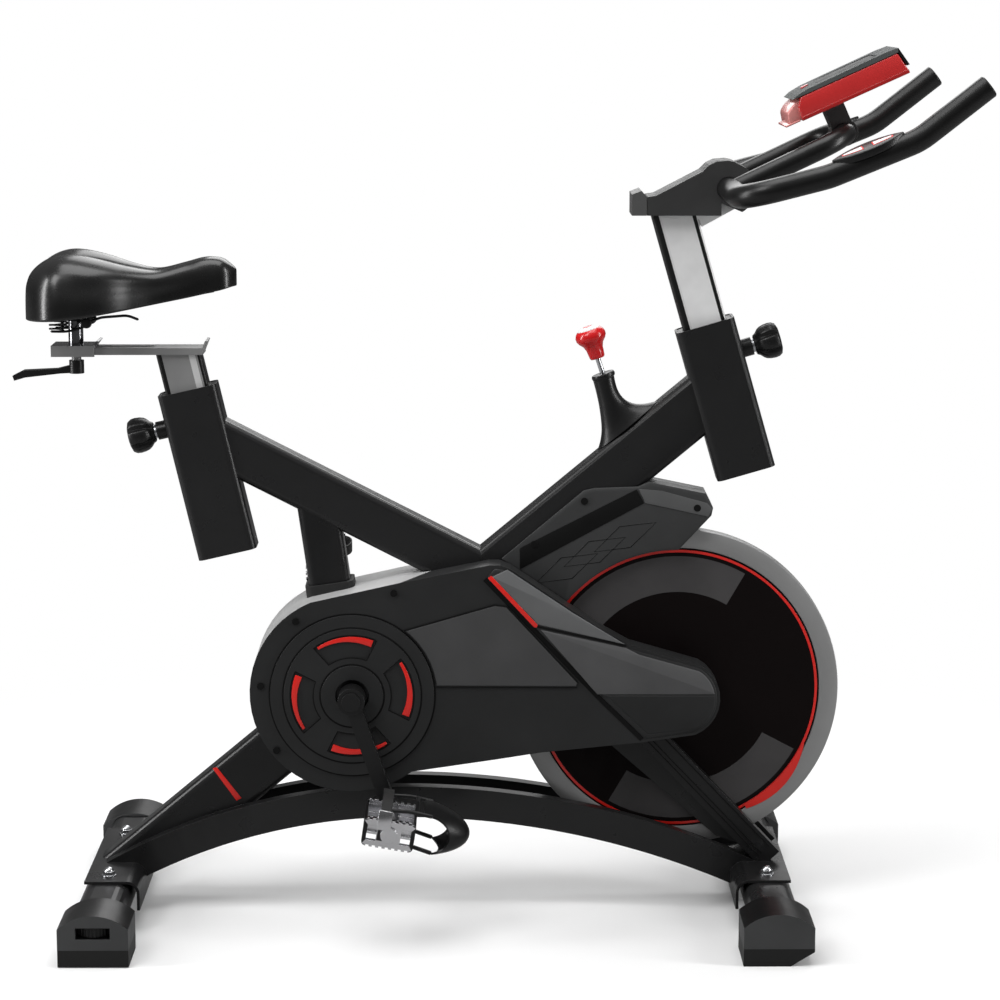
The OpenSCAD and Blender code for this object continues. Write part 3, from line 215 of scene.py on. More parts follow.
# the feet are painted darker below 22 mm as shade on their lower bevel
FOOT = finish("foot_plastic", (0.060, 0.061, 0.062), 0.46, grain=1100, bump=0.12, specular=0.35,
              painted_light_bands=[((0, 0, 1), -5.0, 22.0, SOLE_PAINTED_SHADE_TONE)])
BLACK = finish("black_plastic", (0.0065, 0.0065, 0.0067), 0.34, grain=1200, bump=0.08, specular=0.38)
COVER = moulded("cover_plastic", (0.019, 0.0193, 0.0196))
PANEL = moulded("panel_plastic", (0.060, 0.060, 0.061), 0.48)
SHIELD = moulded("shield_plastic", (0.135, 0.137, 0.139))
# a lighter copy of the cover plastic: painted light on the nose piece's upper face
NOSE_PAINTED_LIGHT = moulded("nose_painted_light", (0.098, 0.098, 0.100))
CASING = finish("casing_silver", (0.42, 0.42, 0.42), 0.42, grain=1200, bump=0.06)
GUARD = moulded("guard_plastic", (0.040, 0.0405, 0.041), 0.45)
# a lighter copy of the guard plastic: painted light on the guard's upper facet
FACET_PAINTED_LIGHT = moulded("facet_painted_light", (0.100, 0.101, 0.102), 0.45)
SHROUD = finish("shroud_plastic", (0.040, 0.040, 0.040), 0.50, grain=1300, bump=0.10, specular=0.3)
CAP = finish("cap_plastic", (0.085, 0.085, 0.085), 0.48, grain=1300, bump=0.10)
RED = finish("red_vinyl", (0.78, 0.016, 0.010), 0.34, bump=0.02, vary=0.05, coat=0.2)
KNOB_RED = finish("knob_red", (0.60, 0.008, 0.010), 0.24, bump=0.01, vary=0.06, coat=0.15)
RUBBER = finish("black_rubber", (0.008, 0.008, 0.008), 0.70, grain=900, bump=0.20)
STEEL = finish("ground_steel", (0.50, 0.51, 0.53), 0.28, 1.0, grain=600, stretch=(1, 0.05, 1))
ALLOY = finish("turned_alloy", (0.80, 0.80, 0.82), 0.16, 1.0, grain=500)
RIM = finish("machined_rim", (0.33, 0.33, 0.33), 0.44, 0.40, grain=800, bump=0.06, vary=0.05)
DISC = finish("disc_black", (0.0036, 0.0016, 0.0016), 0.60, bump=0.03, specular=0.12)
SECTOR = finish("disc_grey", (0.072, 0.069, 0.070), 0.60, bump=0.03, specular=0.12)
SKIN = finish("saddle_skin", (0.0055, 0.0055, 0.0055), 0.27, grain=620, bump=0.08, vary=0.06, coat=0.10,
              soft_edge=0.3)
GRIP = finish("bar_coat", (0.0060, 0.0060, 0.0060), 0.32, grain=950, bump=0.06, specular=0.38)
WHITE = finish("pad_white", (0.82, 0.82, 0.82), 0.35, bump=0.02, vary=0.04)
CONSOLE = finish("console_red", (0.58, 0.030, 0.030), 0.24, bump=0.03, vary=0.08, coat=0.3)
CONSOLE_DARK = finish("console_band", (0.40, 0.016, 0.016), 0.24, bump=0.03, vary=0.08, coat=0.3)
PINK = finish("console_pink", (0.74, 0.28, 0.26), 0.24, bump=0.03, vary=0.06, coat=0.3)
LID = finish("console_grey", (0.085, 0.090, 0.090), 0.70, grain=1200, bump=0.04, specular=0.12)
SCREEN = finish("screen_window", (0.020, 0.022, 0.022), 0.55, bump=0.0, specular=0.1)
FELT = finish("wool_felt", (0.22, 0.17, 0.12), 0.90, grain=420, bump=0.5, sheen=0.5)
CHROME = finish("dark_chrome", (0.26, 0.26, 0.27), 0.18, 1.0, bump=0.02)
# black for seams, screws and moulded lines, and also painted shade in grooves and in the guard's trench
LINE = finish("seam_and_shade_black", (0.0016, 0.0016, 0.0016), 0.60, bump=0.02, specular=0.2)

FINISH = {
    "frame_paint": PAINT, "zinc": ZINC, "post_steel": POST, "foot_plastic": FOOT,
    "black_plastic": BLACK, "cover_plastic": COVER, "grey_plastic": SHIELD, "red_vinyl": RED,
    "black_rubber": RUBBER, "bearing_steel": STEEL, "pulley_alloy": ALLOY, "wheel_iron": RIM,
    "crank_paint": BLACK, "saddle_skin": SKIN, "bar_grip": GRIP, "pad_steel": WHITE,
    "red_plastic": CONSOLE, "screen": SCREEN, "felt": FELT, "casing_grey": CASING,
    "pedal_alloy": ALLOY, "knob_red": KNOB_RED,
}


# ---------------------------------------------------------------- mesh helpers

def set_finish(obj, *materials):
    obj.data.materials.clear()
    for material in materials:
        obj.data.materials.append(material)
    return obj


def smooth(obj, degrees=35.0):
    """Smooth shading that keeps edges sharper than the angle."""
    mesh = obj.data
    mesh.polygons.foreach_set("use_smooth", [True] * len(mesh.polygons))
    mesh.set_sharp_from_angle(angle=math.radians(degrees))
    return obj


def new_mesh(name, verts, faces, material):
    mesh = bpy.data.meshes.new(name)
    mesh.from_pydata([Vector(v) * MM for v in verts], [], faces)
    mesh.update()
    obj = bpy.data.objects.new(name, mesh)
    bpy.context.scene.collection.objects.link(obj)
    set_finish(obj, material)
    return obj


def face_outward(obj):
    """Turns every face of a closed mesh outward."""
    bm = bmesh.new()
    bm.from_mesh(obj.data)
    bmesh.ops.recalc_face_normals(bm, faces=bm.faces)
    bm.to_mesh(obj.data)
    bm.free()
    return obj


def signed_area(line):
    """Twice the area of a closed outline, positive when it runs anticlockwise."""
    return sum(a[0] * b[1] - b[0] * a[1] for a, b in zip(line, line[1:] + line[:1]))


def ring_faces(rings, around, ends=True):
    """Faces between closed rings of equal point count, with the two end rings filled."""
    faces = []
    for k in range(rings - 1):
        low, high = k * around, (k + 1) * around
        for i in range(around):
            j = (i + 1) % around
            faces.append([low + i, low + j, high + j, high + i])
    if ends:
        faces.append(list(range(around))[::-1])
        faces.append([(rings - 1) * around + i for i in range(around)])
    return faces


def add_modifier(obj, kind, **values):
    modifier = obj.modifiers.new(kind.lower(), kind)
    for key, value in values.items():
        setattr(modifier, key, value)
    return modifier


def apply_modifiers(obj):
    bpy.context.view_layer.update()
    graph = bpy.context.evaluated_depsgraph_get()
    mesh = bpy.data.meshes.new_from_object(obj.evaluated_get(graph))
    obj.modifiers.clear()
    obj.data = mesh
    return obj


def round_edges(obj, width, segments=3, degrees=30.0):
    """Real rounded edges, then smooth shading."""
    add_modifier(obj, "BEVEL", width=width * MM, segments=segments, limit_method="ANGLE",
                 angle_limit=math.radians(degrees), use_clamp_overlap=True, harden_normals=False)
    apply_modifiers(obj)
    return smooth(obj, 40.0)


def slab(name, line, y0, y1, material, edge=0.8):
    """A side view outline [x, z] drawn as a solid between two distances from the mid-plane."""
    n = len(line)
    verts = [(x, y0, z) for x, z in line] + [(x, y1, z) for x, z in line]
    order = list(range(n)) if signed_area(line) > 0 else list(range(n))[::-1]
    faces = [order, [i + n for i in order[::-1]]]
    for k in range(n):
        a, b = order[k], order[(k + 1) % n]
        faces.append([b, a, a + n, b + n])
    obj = new_mesh(name, verts, faces, material)
    if edge > 0:
        round_edges(obj, edge)
    return obj


def frame_matrix(origin, up, side=(0, 1, 0)):
    """Local Z along up, local Y as near side as it can be, origin in millimetres."""
    z = Vector(up).normalized()
    x = Vector(side).cross(z).normalized()
    y = z.cross(x)
    m = Matrix((x, y, z)).transposed().to_4x4()
    m.translation = Vector(origin) * MM
    return m


def lathe(name, profile, matrix, material, steps=96, lobes=0, depth=0.0, closed_ends=True):
    """Turns a profile of (radius, height) about local Z. Lobes flute the widest part."""
    widest = max(r for r, h in profile)
    fluted = 0.55
    verts = []
    for r, h in profile:
        for i in range(steps):
            a = 2 * math.pi * i / steps
            flute = 1.0
            if lobes and r > fluted * widest:
                amount = (r / widest - fluted) / (1 - fluted)
                flute = 1 - depth * amount * max(0.0, math.cos(lobes * a)) ** 3
            verts.append((r * flute * math.cos(a), r * flute * math.sin(a), h))
    obj = new_mesh(name, verts, ring_faces(len(profile), steps, closed_ends), material)
    obj.data.transform(matrix)
    return smooth(obj, 35.0)


def rounded_path(points, radii, step=6.0):
    """3-D points joined by straights and arcs of the given corner radii."""
    out = [Vector(points[0])]
    for i in range(1, len(points) - 1):
        a, b, c = (Vector(points[k]) for k in (i - 1, i, i + 1))
        u, v = (a - b).normalized(), (c - b).normalized()
        angle = u.angle(v)
        cut = radii[i] / math.tan(angle / 2)
        start, end = b + u * cut, b + v * cut
        centre = b + (u + v).normalized() * (radii[i] / math.sin(angle / 2))
        s, e = start - centre, end - centre
        sweep = s.angle(e)
        count = max(3, int(radii[i] * sweep / step))
        for k in range(count + 1):
            t = k / count
            w = (s * math.sin((1 - t) * sweep) + e * math.sin(t * sweep)) / math.sin(sweep)
            out.append(centre + w)
    out.append(Vector(points[-1]))
    return out


def tube(name, path, radius, material, steps=40, cap=1.5):
    """A round tube along 3-D points, its ends chamfered by cap."""
    if cap > 0:
        first = (path[0] - path[1]).normalized()
        last = (path[-1] - path[-2]).normalized()
        path = [path[0]] + [path[0] - first * cap] + path[1:-1] + [path[-1] - last * cap] + [path[-1]]
    count = len(path)
    verts = []
    normal = None
    for k, p in enumerate(path):
        ahead = path[min(k + 1, count - 1)] - path[max(k - 1, 0)]
        t = ahead.normalized()
        if normal is None:
            helper = Vector((0, 1, 0)) if abs(t.y) < 0.9 else Vector((1, 0, 0))
            normal = (helper - t * helper.dot(t)).normalized()
        normal = (normal - t * normal.dot(t)).normalized()
        binormal = t.cross(normal)
        r = radius - cap if cap > 0 and k in (0, count - 1) else radius
        for i in range(steps):
            a = 2 * math.pi * i / steps
            verts.append(p + normal * (r * math.cos(a)) + binormal * (r * math.sin(a)))
    return smooth(new_mesh(name, verts, ring_faces(count, steps), material), 40.0)


def extrude(name, outline, z0, z1, matrix, material, edge=0.0):
    """An outline in a local XY plane, made solid between two local heights."""
    n = len(outline)
    if signed_area(outline) < 0:
        outline = outline[::-1]
    verts = [(x, y, z0) for x, y in outline] + [(x, y, z1) for x, y in outline]
    faces = [list(range(n))[::-1], [i + n for i in range(n)]]
    for i in range(n):
        j = (i + 1) % n
        faces.append([i, j, j + n, i + n])
    obj = new_mesh(name, verts, faces, material)
    obj.data.transform(matrix)
    if edge > 0:
        round_edges(obj, edge)
    return obj


def inset(line, d):
    """A closed side view outline moved inward by d."""
    n = len(line)
    turn = 1 if signed_area(line) > 0 else -1
    out = []
    for i in range(n):
        a, b, c = Vector(line[i - 1]), Vector(line[i]), Vector(line[(i + 1) % n])
        u, v = (b - a).normalized(), (c - b).normalized()
        m = Vector((-u.y, u.x)) * turn + Vector((-v.y, v.x)) * turn
        p = b + m * (d / max(0.25, 1 + u.dot(v)))
        out.append((p.x, p.y))
    return out


def plate(name, line, y_back, y_face, slope, drop, material, edge=0.6):
    """A side view slab whose outer face is bevelled all round: slope wide, drop deep."""
    n = len(line)
    if (signed_area(line) > 0) == (y_face > y_back):
        line = line[::-1]
    side = 1 if y_face > y_back else -1
    top = inset(line, slope)
    verts = [(x, y_back, z) for x, z in line] + [(x, y_face - side * drop, z) for x, z in line]
    verts += [(x, y_face, z) for x, z in top]
    faces = [list(range(n))[::-1], [i + 2 * n for i in range(n)]]
    for i in range(n):
        j = (i + 1) % n
        faces.append([i, j, j + n, i + n])
        faces.append([i + n, j + n, j + 2 * n, i + 2 * n])
    obj = face_outward(new_mesh(name, verts, faces, material))
    if edge > 0:
        round_edges(obj, edge)
    return obj


def side_points(y, *points):
    """Side view points [x, z] at a distance y from the mid-plane."""
    return [(x, y, z) for x, z in points]


def show(obj, body, slot, *nodes):
    """Puts a finished piece on its body in place of CAD nodes."""
    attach(obj, body)
    if nodes:
        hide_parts(*nodes)
    return obj


def join(name, *objs):
    """Several meshes as one piece."""
    with bpy.context.temp_override(active_object=objs[0], selected_editable_objects=list(objs),
                                   selected_objects=list(objs), object=objs[0]):
        bpy.ops.object.join()
    objs[0].name = name
    objs[0].data.name = name
    return objs[0]


def arc(centre, radius, a0, a1, steps=24):
    """Side view points on an arc, degrees."""
    out = []
    for i in range(steps + 1):
        a = math.radians(a0 + (a1 - a0) * i / steps)
        out.append((centre[0] + radius * math.cos(a), centre[1] + radius * math.sin(a)))
    return out


def stroke(name, line, width, y, material, depth=0.35, closed=False):
    """A thin band following side view points on a face at distance y."""
    pts = [Vector(p) for p in line]
    left, right = [], []
    count = len(pts)
    for i, p in enumerate(pts):
        before = pts[i - 1] if (i or closed) else p
        after = pts[(i + 1) % count] if (i < count - 1 or closed) else p
        d = (after - before).normalized()
        n = Vector((-d.y, d.x)) * (width / 2)
        left.append(p + n)
        right.append(p - n)
    verts, faces = [], []
    for level in (y, y + depth):
        for edge in (left, right):
            verts += [(p.x, level, p.y) for p in edge]
    last = count if closed else count - 1
    for i in range(last):
        j = (i + 1) % count
        faces.append([i, j, count + j, count + i])
        faces.append([2 * count + i, 3 * count + i, 3 * count + j, 2 * count + j])
        faces.append([i, 2 * count + i, 2 * count + j, j])
        faces.append([count + i, count + j, 3 * count + j, 3 * count + i])
    return face_outward(new_mesh(name, verts, faces, material))


# ---------------------------------------------------------------- CAD nodes shown as they are

slot_of = {s["node"]: s["material_slot"] for s in frame["record"]["subparts"]}
for node_name, node_obj in NODES.items():
    set_finish(node_obj, FINISH[slot_of[node_name]])
    smooth(node_obj, 30.0)


def repaint(node_name, material):
    set_finish(NODES[node_name], material)


def paint_faces(node_name, material, wanted):
    """A second finish on the faces that pass the test, given normal and centre in millimetres."""
    obj = NODES[node_name]
    obj.data.materials.append(material)
    index = len(obj.data.materials) - 1
    for face in obj.data.polygons:
        if wanted(face.normal, face.center / MM):
            face.material_index = index


# heights and places in millimetres where a second finish begins
CASING_FRONT = -62
CASING_FOOT = 200
TRACK_FOOT = 712
STEM_FOOT = 726
LID_END = 133.5
CONSOLE_ALONG = Vector((math.cos(math.radians(CONSOLE_LEAN)), 0, math.sin(math.radians(CONSOLE_LEAN))))
CONSOLE_START = Vector((CONSOLE_SEAT[0], 0, CONSOLE_SEAT[1]))

paint_faces("right_cover", CASING, lambda n, c: n.y > -0.5 and c.x < CASING_FRONT and c.z > CASING_FOOT)
repaint("seat_post", POST_DARK)
paint_faces("seat_post", SLIDER, lambda n, c: c.z > TRACK_FOOT)
repaint("saddle_slider", SLIDER)
paint_faces("saddle_slider", CHROME, lambda n, c: c.z > STEM_FOOT)
repaint("cover_screws", LINE)
repaint("saddle_lever", BLACK)
repaint("stem_shroud", SHROUD)
repaint("stem_cap", CAP)
repaint("console_top", LID)
paint_faces("console_top", BLACK, lambda n, c: (c - CONSOLE_START).dot(CONSOLE_ALONG) > LID_END)
repaint("console_bracket", SHROUD)
for corner in ("right_rear", "left_rear", "right_front", "left_front"):
    paint_faces(corner + "_foot", BLACK, lambda n, c: n.z > 0.25)


# ---------------------------------------------------------------- saddle

def table(pairs, x):
    """Smooth value between (x, value) pairs."""
    xs = [p[0] for p in pairs]
    ys = [p[1] for p in pairs]
    x = min(max(x, xs[0]), xs[-1])
    for i in range(len(xs) - 1):
        if x <= xs[i + 1]:
            t = (x - xs[i]) / (xs[i + 1] - xs[i])
            m0 = (ys[i + 1] - ys[i - 1]) / (xs[i + 1] - xs[i - 1]) if i else 0.0
            m1 = (ys[i + 2] - ys[i]) / (xs[i + 2] - xs[i]) if i + 2 < len(xs) else 0.0
            h = xs[i + 1] - xs[i]
            return ((2 * t ** 3 - 3 * t ** 2 + 1) * ys[i] + (t ** 3 - 2 * t ** 2 + t) * h * m0
                    + (-2 * t ** 3 + 3 * t ** 2) * ys[i + 1] + (t ** 3 - t ** 2) * h * m1)
    return ys[-1]


SADDLE_HALF = [(-574, 96), (-560, 97), (-540, 97), (-515, 97), (-492, 95), (-465, 83), (-435, 61),
               (-405, 43), (-375, 33), (-345, 28), (-325, 26), (-312, 24)]
SADDLE_TOP = [(-574, 818), (-566, 830), (-552, 838), (-535, 843), (-512, 845), (-480, 839),
              (-445, 829), (-410, 823), (-375, 830), (-350, 836), (-330, 835), (-312, 829)]
SADDLE_EDGE = [(-574, 761), (-560, 761.5), (-525, 764), (-451, 773.7), (-377, 786), (-330, 796),
               (-312, 800)]
SADDLE_TAIL = -574.0
SADDLE_NOSE = -312.0
SADDLE_DIP = -448.0

# cloth: the strip held above the lower edge, the stretch that may swell, and by how much
SKIN_HELD = 12.0
SKIN_FREE = (-556.0, -326.0)
SKIN_SWELL = 3.5


def saddle_ring(x):
    """One closed ring across the saddle: over the top, then back under the pan."""
    tail_round, nose_round = 52.0, 24.0
    tail = min(1.0, (x - SADDLE_TAIL) / tail_round)
    nose = min(1.0, (SADDLE_NOSE - x) / nose_round)
    round_off = math.sqrt(max(0.0, 1 - (1 - tail) ** 2)) * math.sqrt(max(0.0, 1 - (1 - nose) ** 2))
    half = max(0.6, table(SADDLE_HALF, x) * round_off)
    edge = table(SADDLE_EDGE, x)
    rise = (table(SADDLE_TOP, x) - edge) * (0.66 + 0.34 * round_off)
    broad = min(1.0, max(0.0, (half - 30) / 60))
    groove = 12.0 * math.exp(-((x - SADDLE_DIP) / 55.0) ** 2)
    quarter = 22
    under = 14
    fullness = 0.62
    ring = []
    for k in range(2 * quarter + 1):
        u = k / quarter if k <= quarter else 2 - k / quarter
        u = u ** 1.6 / (u ** 1.6 + (1 - u) ** 1.6)
        a = math.pi / 2 * u
        level = math.sin(a) ** fullness
        y = half * math.cos(a) ** fullness if u < 1 else 0.0
        # a soft hollow along the flank
        flank = math.exp(-((level - 0.52) / 0.17) ** 2) * math.exp(-((x + 455) / 62.0) ** 2)
        y -= 4.5 * flank * min(1.0, y / 20.0)
        z = edge + rise * level
        z -= groove * level ** 4 * math.exp(-(y / 6.5) ** 2)
        z -= 9.0 * broad * level ** 4 * math.exp(-(y / 26.0) ** 2)
        ring.append((x, y if k <= quarter else -y, z))
    for k in range(1, under + 1):
        t = 1 - 2 * k / (under + 1)
        ring.append((x, -half * t, edge + (3 + 8 * broad) * math.sqrt(1 - t * t)))
    return ring


def saddle_blank():
    """The padded shape before the skin is pulled over it: rings packed closer towards both ends."""
    count = 76
    rings = []
    for k in range(count + 1):
        t = (1 - math.cos(math.pi * k / count)) / 2
        rings.append(saddle_ring(SADDLE_TAIL + (SADDLE_NOSE - SADDLE_TAIL) * t))
    verts = [p for ring in rings for p in ring]
    return face_outward(new_mesh("saddle_pad", verts, ring_faces(len(rings), len(rings[0])), SKIN))


def puff(obj, frames, pressure):
    """Lets the skin swell a little under cloth pressure, held along its lower edge and at both ends."""
    group = obj.vertex_groups.new(name="hold")
    for v in obj.data.vertices:
        edge = table(SADDLE_EDGE, v.co.x / MM) * MM
        if v.co.z < edge + SKIN_HELD * MM or not SKIN_FREE[0] < v.co.x / MM < SKIN_FREE[1]:
            group.add([v.index], 1.0, "REPLACE")
    rest = [v.co.copy() for v in obj.data.vertices]
    cloth = obj.modifiers.new("cloth", "CLOTH")
    settings = cloth.settings
    settings.quality = 6
    settings.mass = 0.3
    settings.tension_stiffness = 30
    settings.compression_stiffness = 30
    settings.bending_stiffness = 8
    settings.use_pressure = True
    settings.uniform_pressure_force = pressure
    settings.vertex_group_mass = "hold"
    settings.effector_weights.gravity = 0.0
    cloth.collision_settings.use_self_collision = False
    cloth.point_cache.frame_start = 1
    cloth.point_cache.frame_end = frames
    scene = bpy.context.scene
    for f in range(1, frames + 1):
        scene.frame_set(f)
    graph = bpy.context.evaluated_depsgraph_get()
    moved = [v.co.copy() for v in obj.evaluated_get(graph).data.vertices]
    obj.modifiers.clear()
    scene.frame_set(1)
    most = SKIN_SWELL * MM
    for v, a, b in zip(obj.data.vertices, rest, moved):
        d = b - a
        if d.length > most:
            d = d.normalized() * most
        v.co = a + d


def build_saddle():
    pad = saddle_blank()
    puff(pad, frames=20, pressure=4.0)
    add_modifier(pad, "SUBSURF", levels=1, render_levels=1)
    apply_modifiers(pad)
    smooth(pad, 60.0)
    show(pad, "saddle_body", "saddle_skin", "saddle")


def build_saddle_frame():
    """Rails under the pan, coil springs, and the clamp with its cross bolt and bent wire handle."""
    stem_x = -515.2
    rod_y = 20
    coil_x, coil_radius, turns, per_turn = -535, 8.4, 5, 24
    handle_y = -25
    pieces = []
    for y in (-rod_y, rod_y):
        rail = rounded_path([(-548, y, 771), (-505, y, 771.5), (-400, y, 786), (-338, y, 797)],
                            [0, 60, 200, 0])
        pieces.append(tube("rail", rail, 3.2, BLACK, steps=18))
        coil = []
        for k in range(turns * per_turn + 1):
            a = 2 * math.pi * k / per_turn
            coil.append(Vector((coil_x + coil_radius * math.cos(a), y + coil_radius * math.sin(a),
                                746 + 24.0 * k / (turns * per_turn))))
        pieces.append(tube("coil", coil, 1.3, BLACK, steps=12, cap=0))
        foot = rounded_path([(-543, y, 745), (-520, y, 744.6), (-497, y, 752)], [0, 60, 0], 3.0)
        pieces.append(tube("foot", foot, 1.6, BLACK, steps=12))
    up = frame_matrix((stem_x, 0, 0), (0, 0, 1))
    clamp = [(9.8, 757), (13.5, 757), (14.5, 758), (14.5, 774), (9.8, 774)]
    pieces.append(lathe("clamp", clamp, up, BLACK, steps=48, closed_ends=False))
    across = frame_matrix((-497.2, 0, 755.7), (0, -1, 0), (0, 0, 1))
    bolt = [(0.3, -29), (5.4, -28.6), (6.2, -27.6), (6.2, -21), (3.2, -20.6), (3.2, 20.6), (6.2, 21),
            (6.6, 24), (6.2, 27.6), (5.4, 28.6), (0.3, 29)]
    pieces.append(lathe("bolt", bolt, across, BLACK, steps=40))
    bends = side_points(handle_y, (-497, 756), (-479, 763), (-446, 765.5), (-432, 760))
    handle = rounded_path(bends, [0, 24, 24, 0], 2.5)
    pieces.append(tube("handle", handle, 1.7, BLACK, steps=12))
    show(join("saddle_rails", *pieces), "saddle_body", "crank_paint", "saddle_frame")


build_saddle()
build_saddle_frame()


# ---------------------------------------------------------------- handlebar

def build_handlebar():
    arm = [(400, 948), (505, 990.5), (585.2, 1053.6)]
    right = side_points(-BAR_HALF_WIDTH, *arm[::-1], BAR)
    left = side_points(BAR_HALF_WIDTH, BAR, *arm)
    points = right + left
    radii = [0, 85, 110, 45, 45, 110, 85, 0]
    main = tube("bar_main", rounded_path(points, radii, 5.0), 14.3, GRIP, steps=48)
    tip = (440.6, 989.9)
    loop_half = 70
    loop = side_points(-loop_half, BAR, tip) + side_points(loop_half, tip, BAR)
    inner = tube("bar_loop", rounded_path(loop, [0, 46, 46, 0], 4.0), 12.7, GRIP, steps=44, cap=0)
    show(join("handlebar_tubes", main, inner), "bar_body", "bar_grip", "handlebar")


build_handlebar()


# ---------------------------------------------------------------- flywheel

def wheel_frame(y):
    """Local Z along the wheel's axle towards the rider's right, from a distance y."""
    m = Matrix.Rotation(math.radians(90), 4, "X")
    m.translation = Vector((WHEEL[0], y, WHEEL[1])) * MM
    return m


def build_flywheel():
    """The casting: a machined rim, a web and a hub."""
    profile = [(182.2, -9.0), (182.2, -11.4), (183.2, -12), (204.6, -12), (205.6, -11.4), (206, -10.2),
               (206, 10.2), (205.6, 11.4), (204.6, 12), (183.2, 12), (182.2, 11.4), (182.2, 9.0)]
    rim = lathe("flywheel_rim", profile, wheel_frame(0), RIM, steps=220, closed_ends=False)
    core = [(26, -9), (182.4, -9), (182.4, 9), (26, 9)]
    body = lathe("flywheel_core", core, wheel_frame(0), RIM, steps=120, closed_ends=False)
    hub = [(6.2, -16), (25, -16), (26, -15), (26, 15), (25, 16), (6.2, 16)]
    boss = lathe("flywheel_boss", hub, wheel_frame(0), STEEL, steps=64, closed_ends=False)
    show(join("flywheel_casting", rim, body, boss), "flywheel_body", "wheel_iron", "flywheel")


def swell_outline(start):
    """The red ring's swelling: a sliver from the ring out over the rim, over an angle of 36 degrees."""
    sweep, steps = 36, 24
    outer = []
    for t in range(steps + 1):
        r = 180 + 9.5 * math.sin(math.pi * (0.12 + 0.88 * t / steps))
        a = math.radians(start + sweep * t / steps)
        outer.append((WHEEL[0] + r * math.cos(a), WHEEL[1] + r * math.sin(a)))
    return outer + arc(WHEEL, 177, start + sweep, start, steps)


def build_wheel_face(side, name, *replaced):
    """The dark dish of one side, with two grey sectors, the red ring and its two swellings."""
    dish = [(26.6, 9.2), (26.6, 9.8), (170, 9.8), (173, 10.6), (180, 10.8), (181.6, 10.4), (181.8, 9.2)]
    m = wheel_frame(0)
    if side > 0:
        m = m @ Matrix.Rotation(math.radians(180), 4, "X")
    pieces = [lathe("face_plate", dish, m, DISC, steps=200, closed_ends=False)]
    sector = 92
    for start in (-120, 60):
        line = arc(WHEEL, 173.5, start, start + sector, 48) + arc(WHEEL, 125, start + sector, start, 36)
        pieces.append(slab("sector", line, side * 9.75, side * 10.15, SECTOR, edge=0))
    ring = arc(WHEEL, 178, 0, 358.2, 200)
    pieces.append(stroke("ring", ring, 3.4, side * 10.75, RED, side * 0.4, closed=True))
    for start in (-60, 120):
        pieces.append(slab("swell", swell_outline(start), side * 12.0, side * 12.25, RED, edge=0))
    show(join("flywheel_face_" + name, *pieces), "flywheel_body", "black_plastic", *replaced)


build_flywheel()
build_wheel_face(-1, "right", "flywheel_discs")
build_wheel_face(1, "left")


# ---------------------------------------------------------------- covers

NOSE_TIP = (243, 284)
NOSE_LINE = ([(0, 441), (146, 285), (199, 233)] + arc(NOSE_TIP, 46, -66, 60, 24)
             + [(178, 349), (139, 371), (28, 449), (9, 452)])
PANEL_LINE = arc(CRANK, 105.5, 52, 6, 16) + [(112, 300), (114, 306), (24, 404), (9, 406)]
WINDOW_STARTS = (66, 156, 246, 336)
GUARD_LINE = ([(18, 457)] + arc(WHEEL, 182, 141, 90, 24)
              + [(282, 512), (284, 522), (275, 540), (203, 555), (190, 549), (134, 547), (121, 544)])


def build_guard(side, name, *replaced):
    """Bevelled guard with a trench strip painted dark as shade, a facet painted bright as lit from
    above, and three rhombi.
    """
    y = side * 26
    body = plate("shell", GUARD_LINE, side * 0.2, y, 5.0, 1.6, GUARD, edge=0.6)
    # the trench strip is painted shade along the step to the raised inner panel, and the facet is
    # painted lighter as lit
    trench = [(41, 471), (187.5, 546), (197, 528.5), (41, 444)]
    facet = [(190, 546.5), (219.5, 544), (276, 528.5), (283, 521), (277.5, 511), (198.5, 528.5)]
    pieces = [body, slab("trench", trench, y, y + side * 0.5, LINE, edge=0.1),
              slab("facet", facet, y, y + side * 0.7, FACET_PAINTED_LIGHT, edge=0.3)]
    for x, z in ((166.3, 498.4), (127.9, 479.4), (93.0, 458.6)):
        line = [(x, z), (x + 46, z + 5.4), (x + 14, z - 26.6), (x - 31.5, z - 32.3)]
        pieces.append(stroke("rhombus", line, 1.0, y, LINE, side * 0.3, closed=True))
    show(join("guard_" + name, *pieces), "base", "cover_plastic", *replaced)


def build_nose_piece():
    """A bright badge by the stripe, an upper face painted lighter as lit from above, and a face below
    the crease painted darker as its shaded side.
    """
    shield = plate("nose_piece", NOSE_LINE, -62.1, -64.2, 4.0, 1.4, COVER, edge=0.5)
    badge = [(5, 441.5), (25, 451), (105.7, 396.5), (172, 355.5), (63, 381)]
    upper = [(67, 374), (174, 350.5), (190, 342)] + arc(NOSE_TIP, 43, 58, 9, 12) + [(138, 291)]
    lower = [(141, 289.2), (285.6, 289.2)] + arc(NOSE_TIP, 43, 4, -62, 14) + [(202, 240), (152, 287)]
    pieces = [shield]
    # the upper face is painted lighter as lit and the lower face darker as shaded, in place of the lower
    # half leaning inward
    for outline, face, material in ((badge, -65.3, SHIELD), (upper, -65.0, NOSE_PAINTED_LIGHT), (lower, -64.8, COVER)):
        pieces.append(plate("nose_face", outline, -63.6, face, 1.2, 0.6, material, edge=0.2))
    pieces.append(stroke("wedge", [(62, 378.4), (174, 353.4)], 2.6, -64.3, LINE, -0.2))
    show(join("cover_nose", *pieces), "base", "grey_plastic", "cover_shield")


def fork_rib_shade():
    """Dark strips painted as shade beside the rolled ribs down the outer face of each fork leg."""
    foot, head = Vector((352, 77)), Vector((205, 232))
    across = Vector((head.y - foot.y, foot.x - head.x)).normalized()
    ribs = []
    for side in (-1, 1):
        for offset in (-7.0, -2.0, 11.0):
            rib = [tuple(foot + across * offset), tuple(head + across * offset)]
            ribs.append(stroke("rib", rib, 1.4, side * 37.4, LINE, side * 0.6))
    return ribs


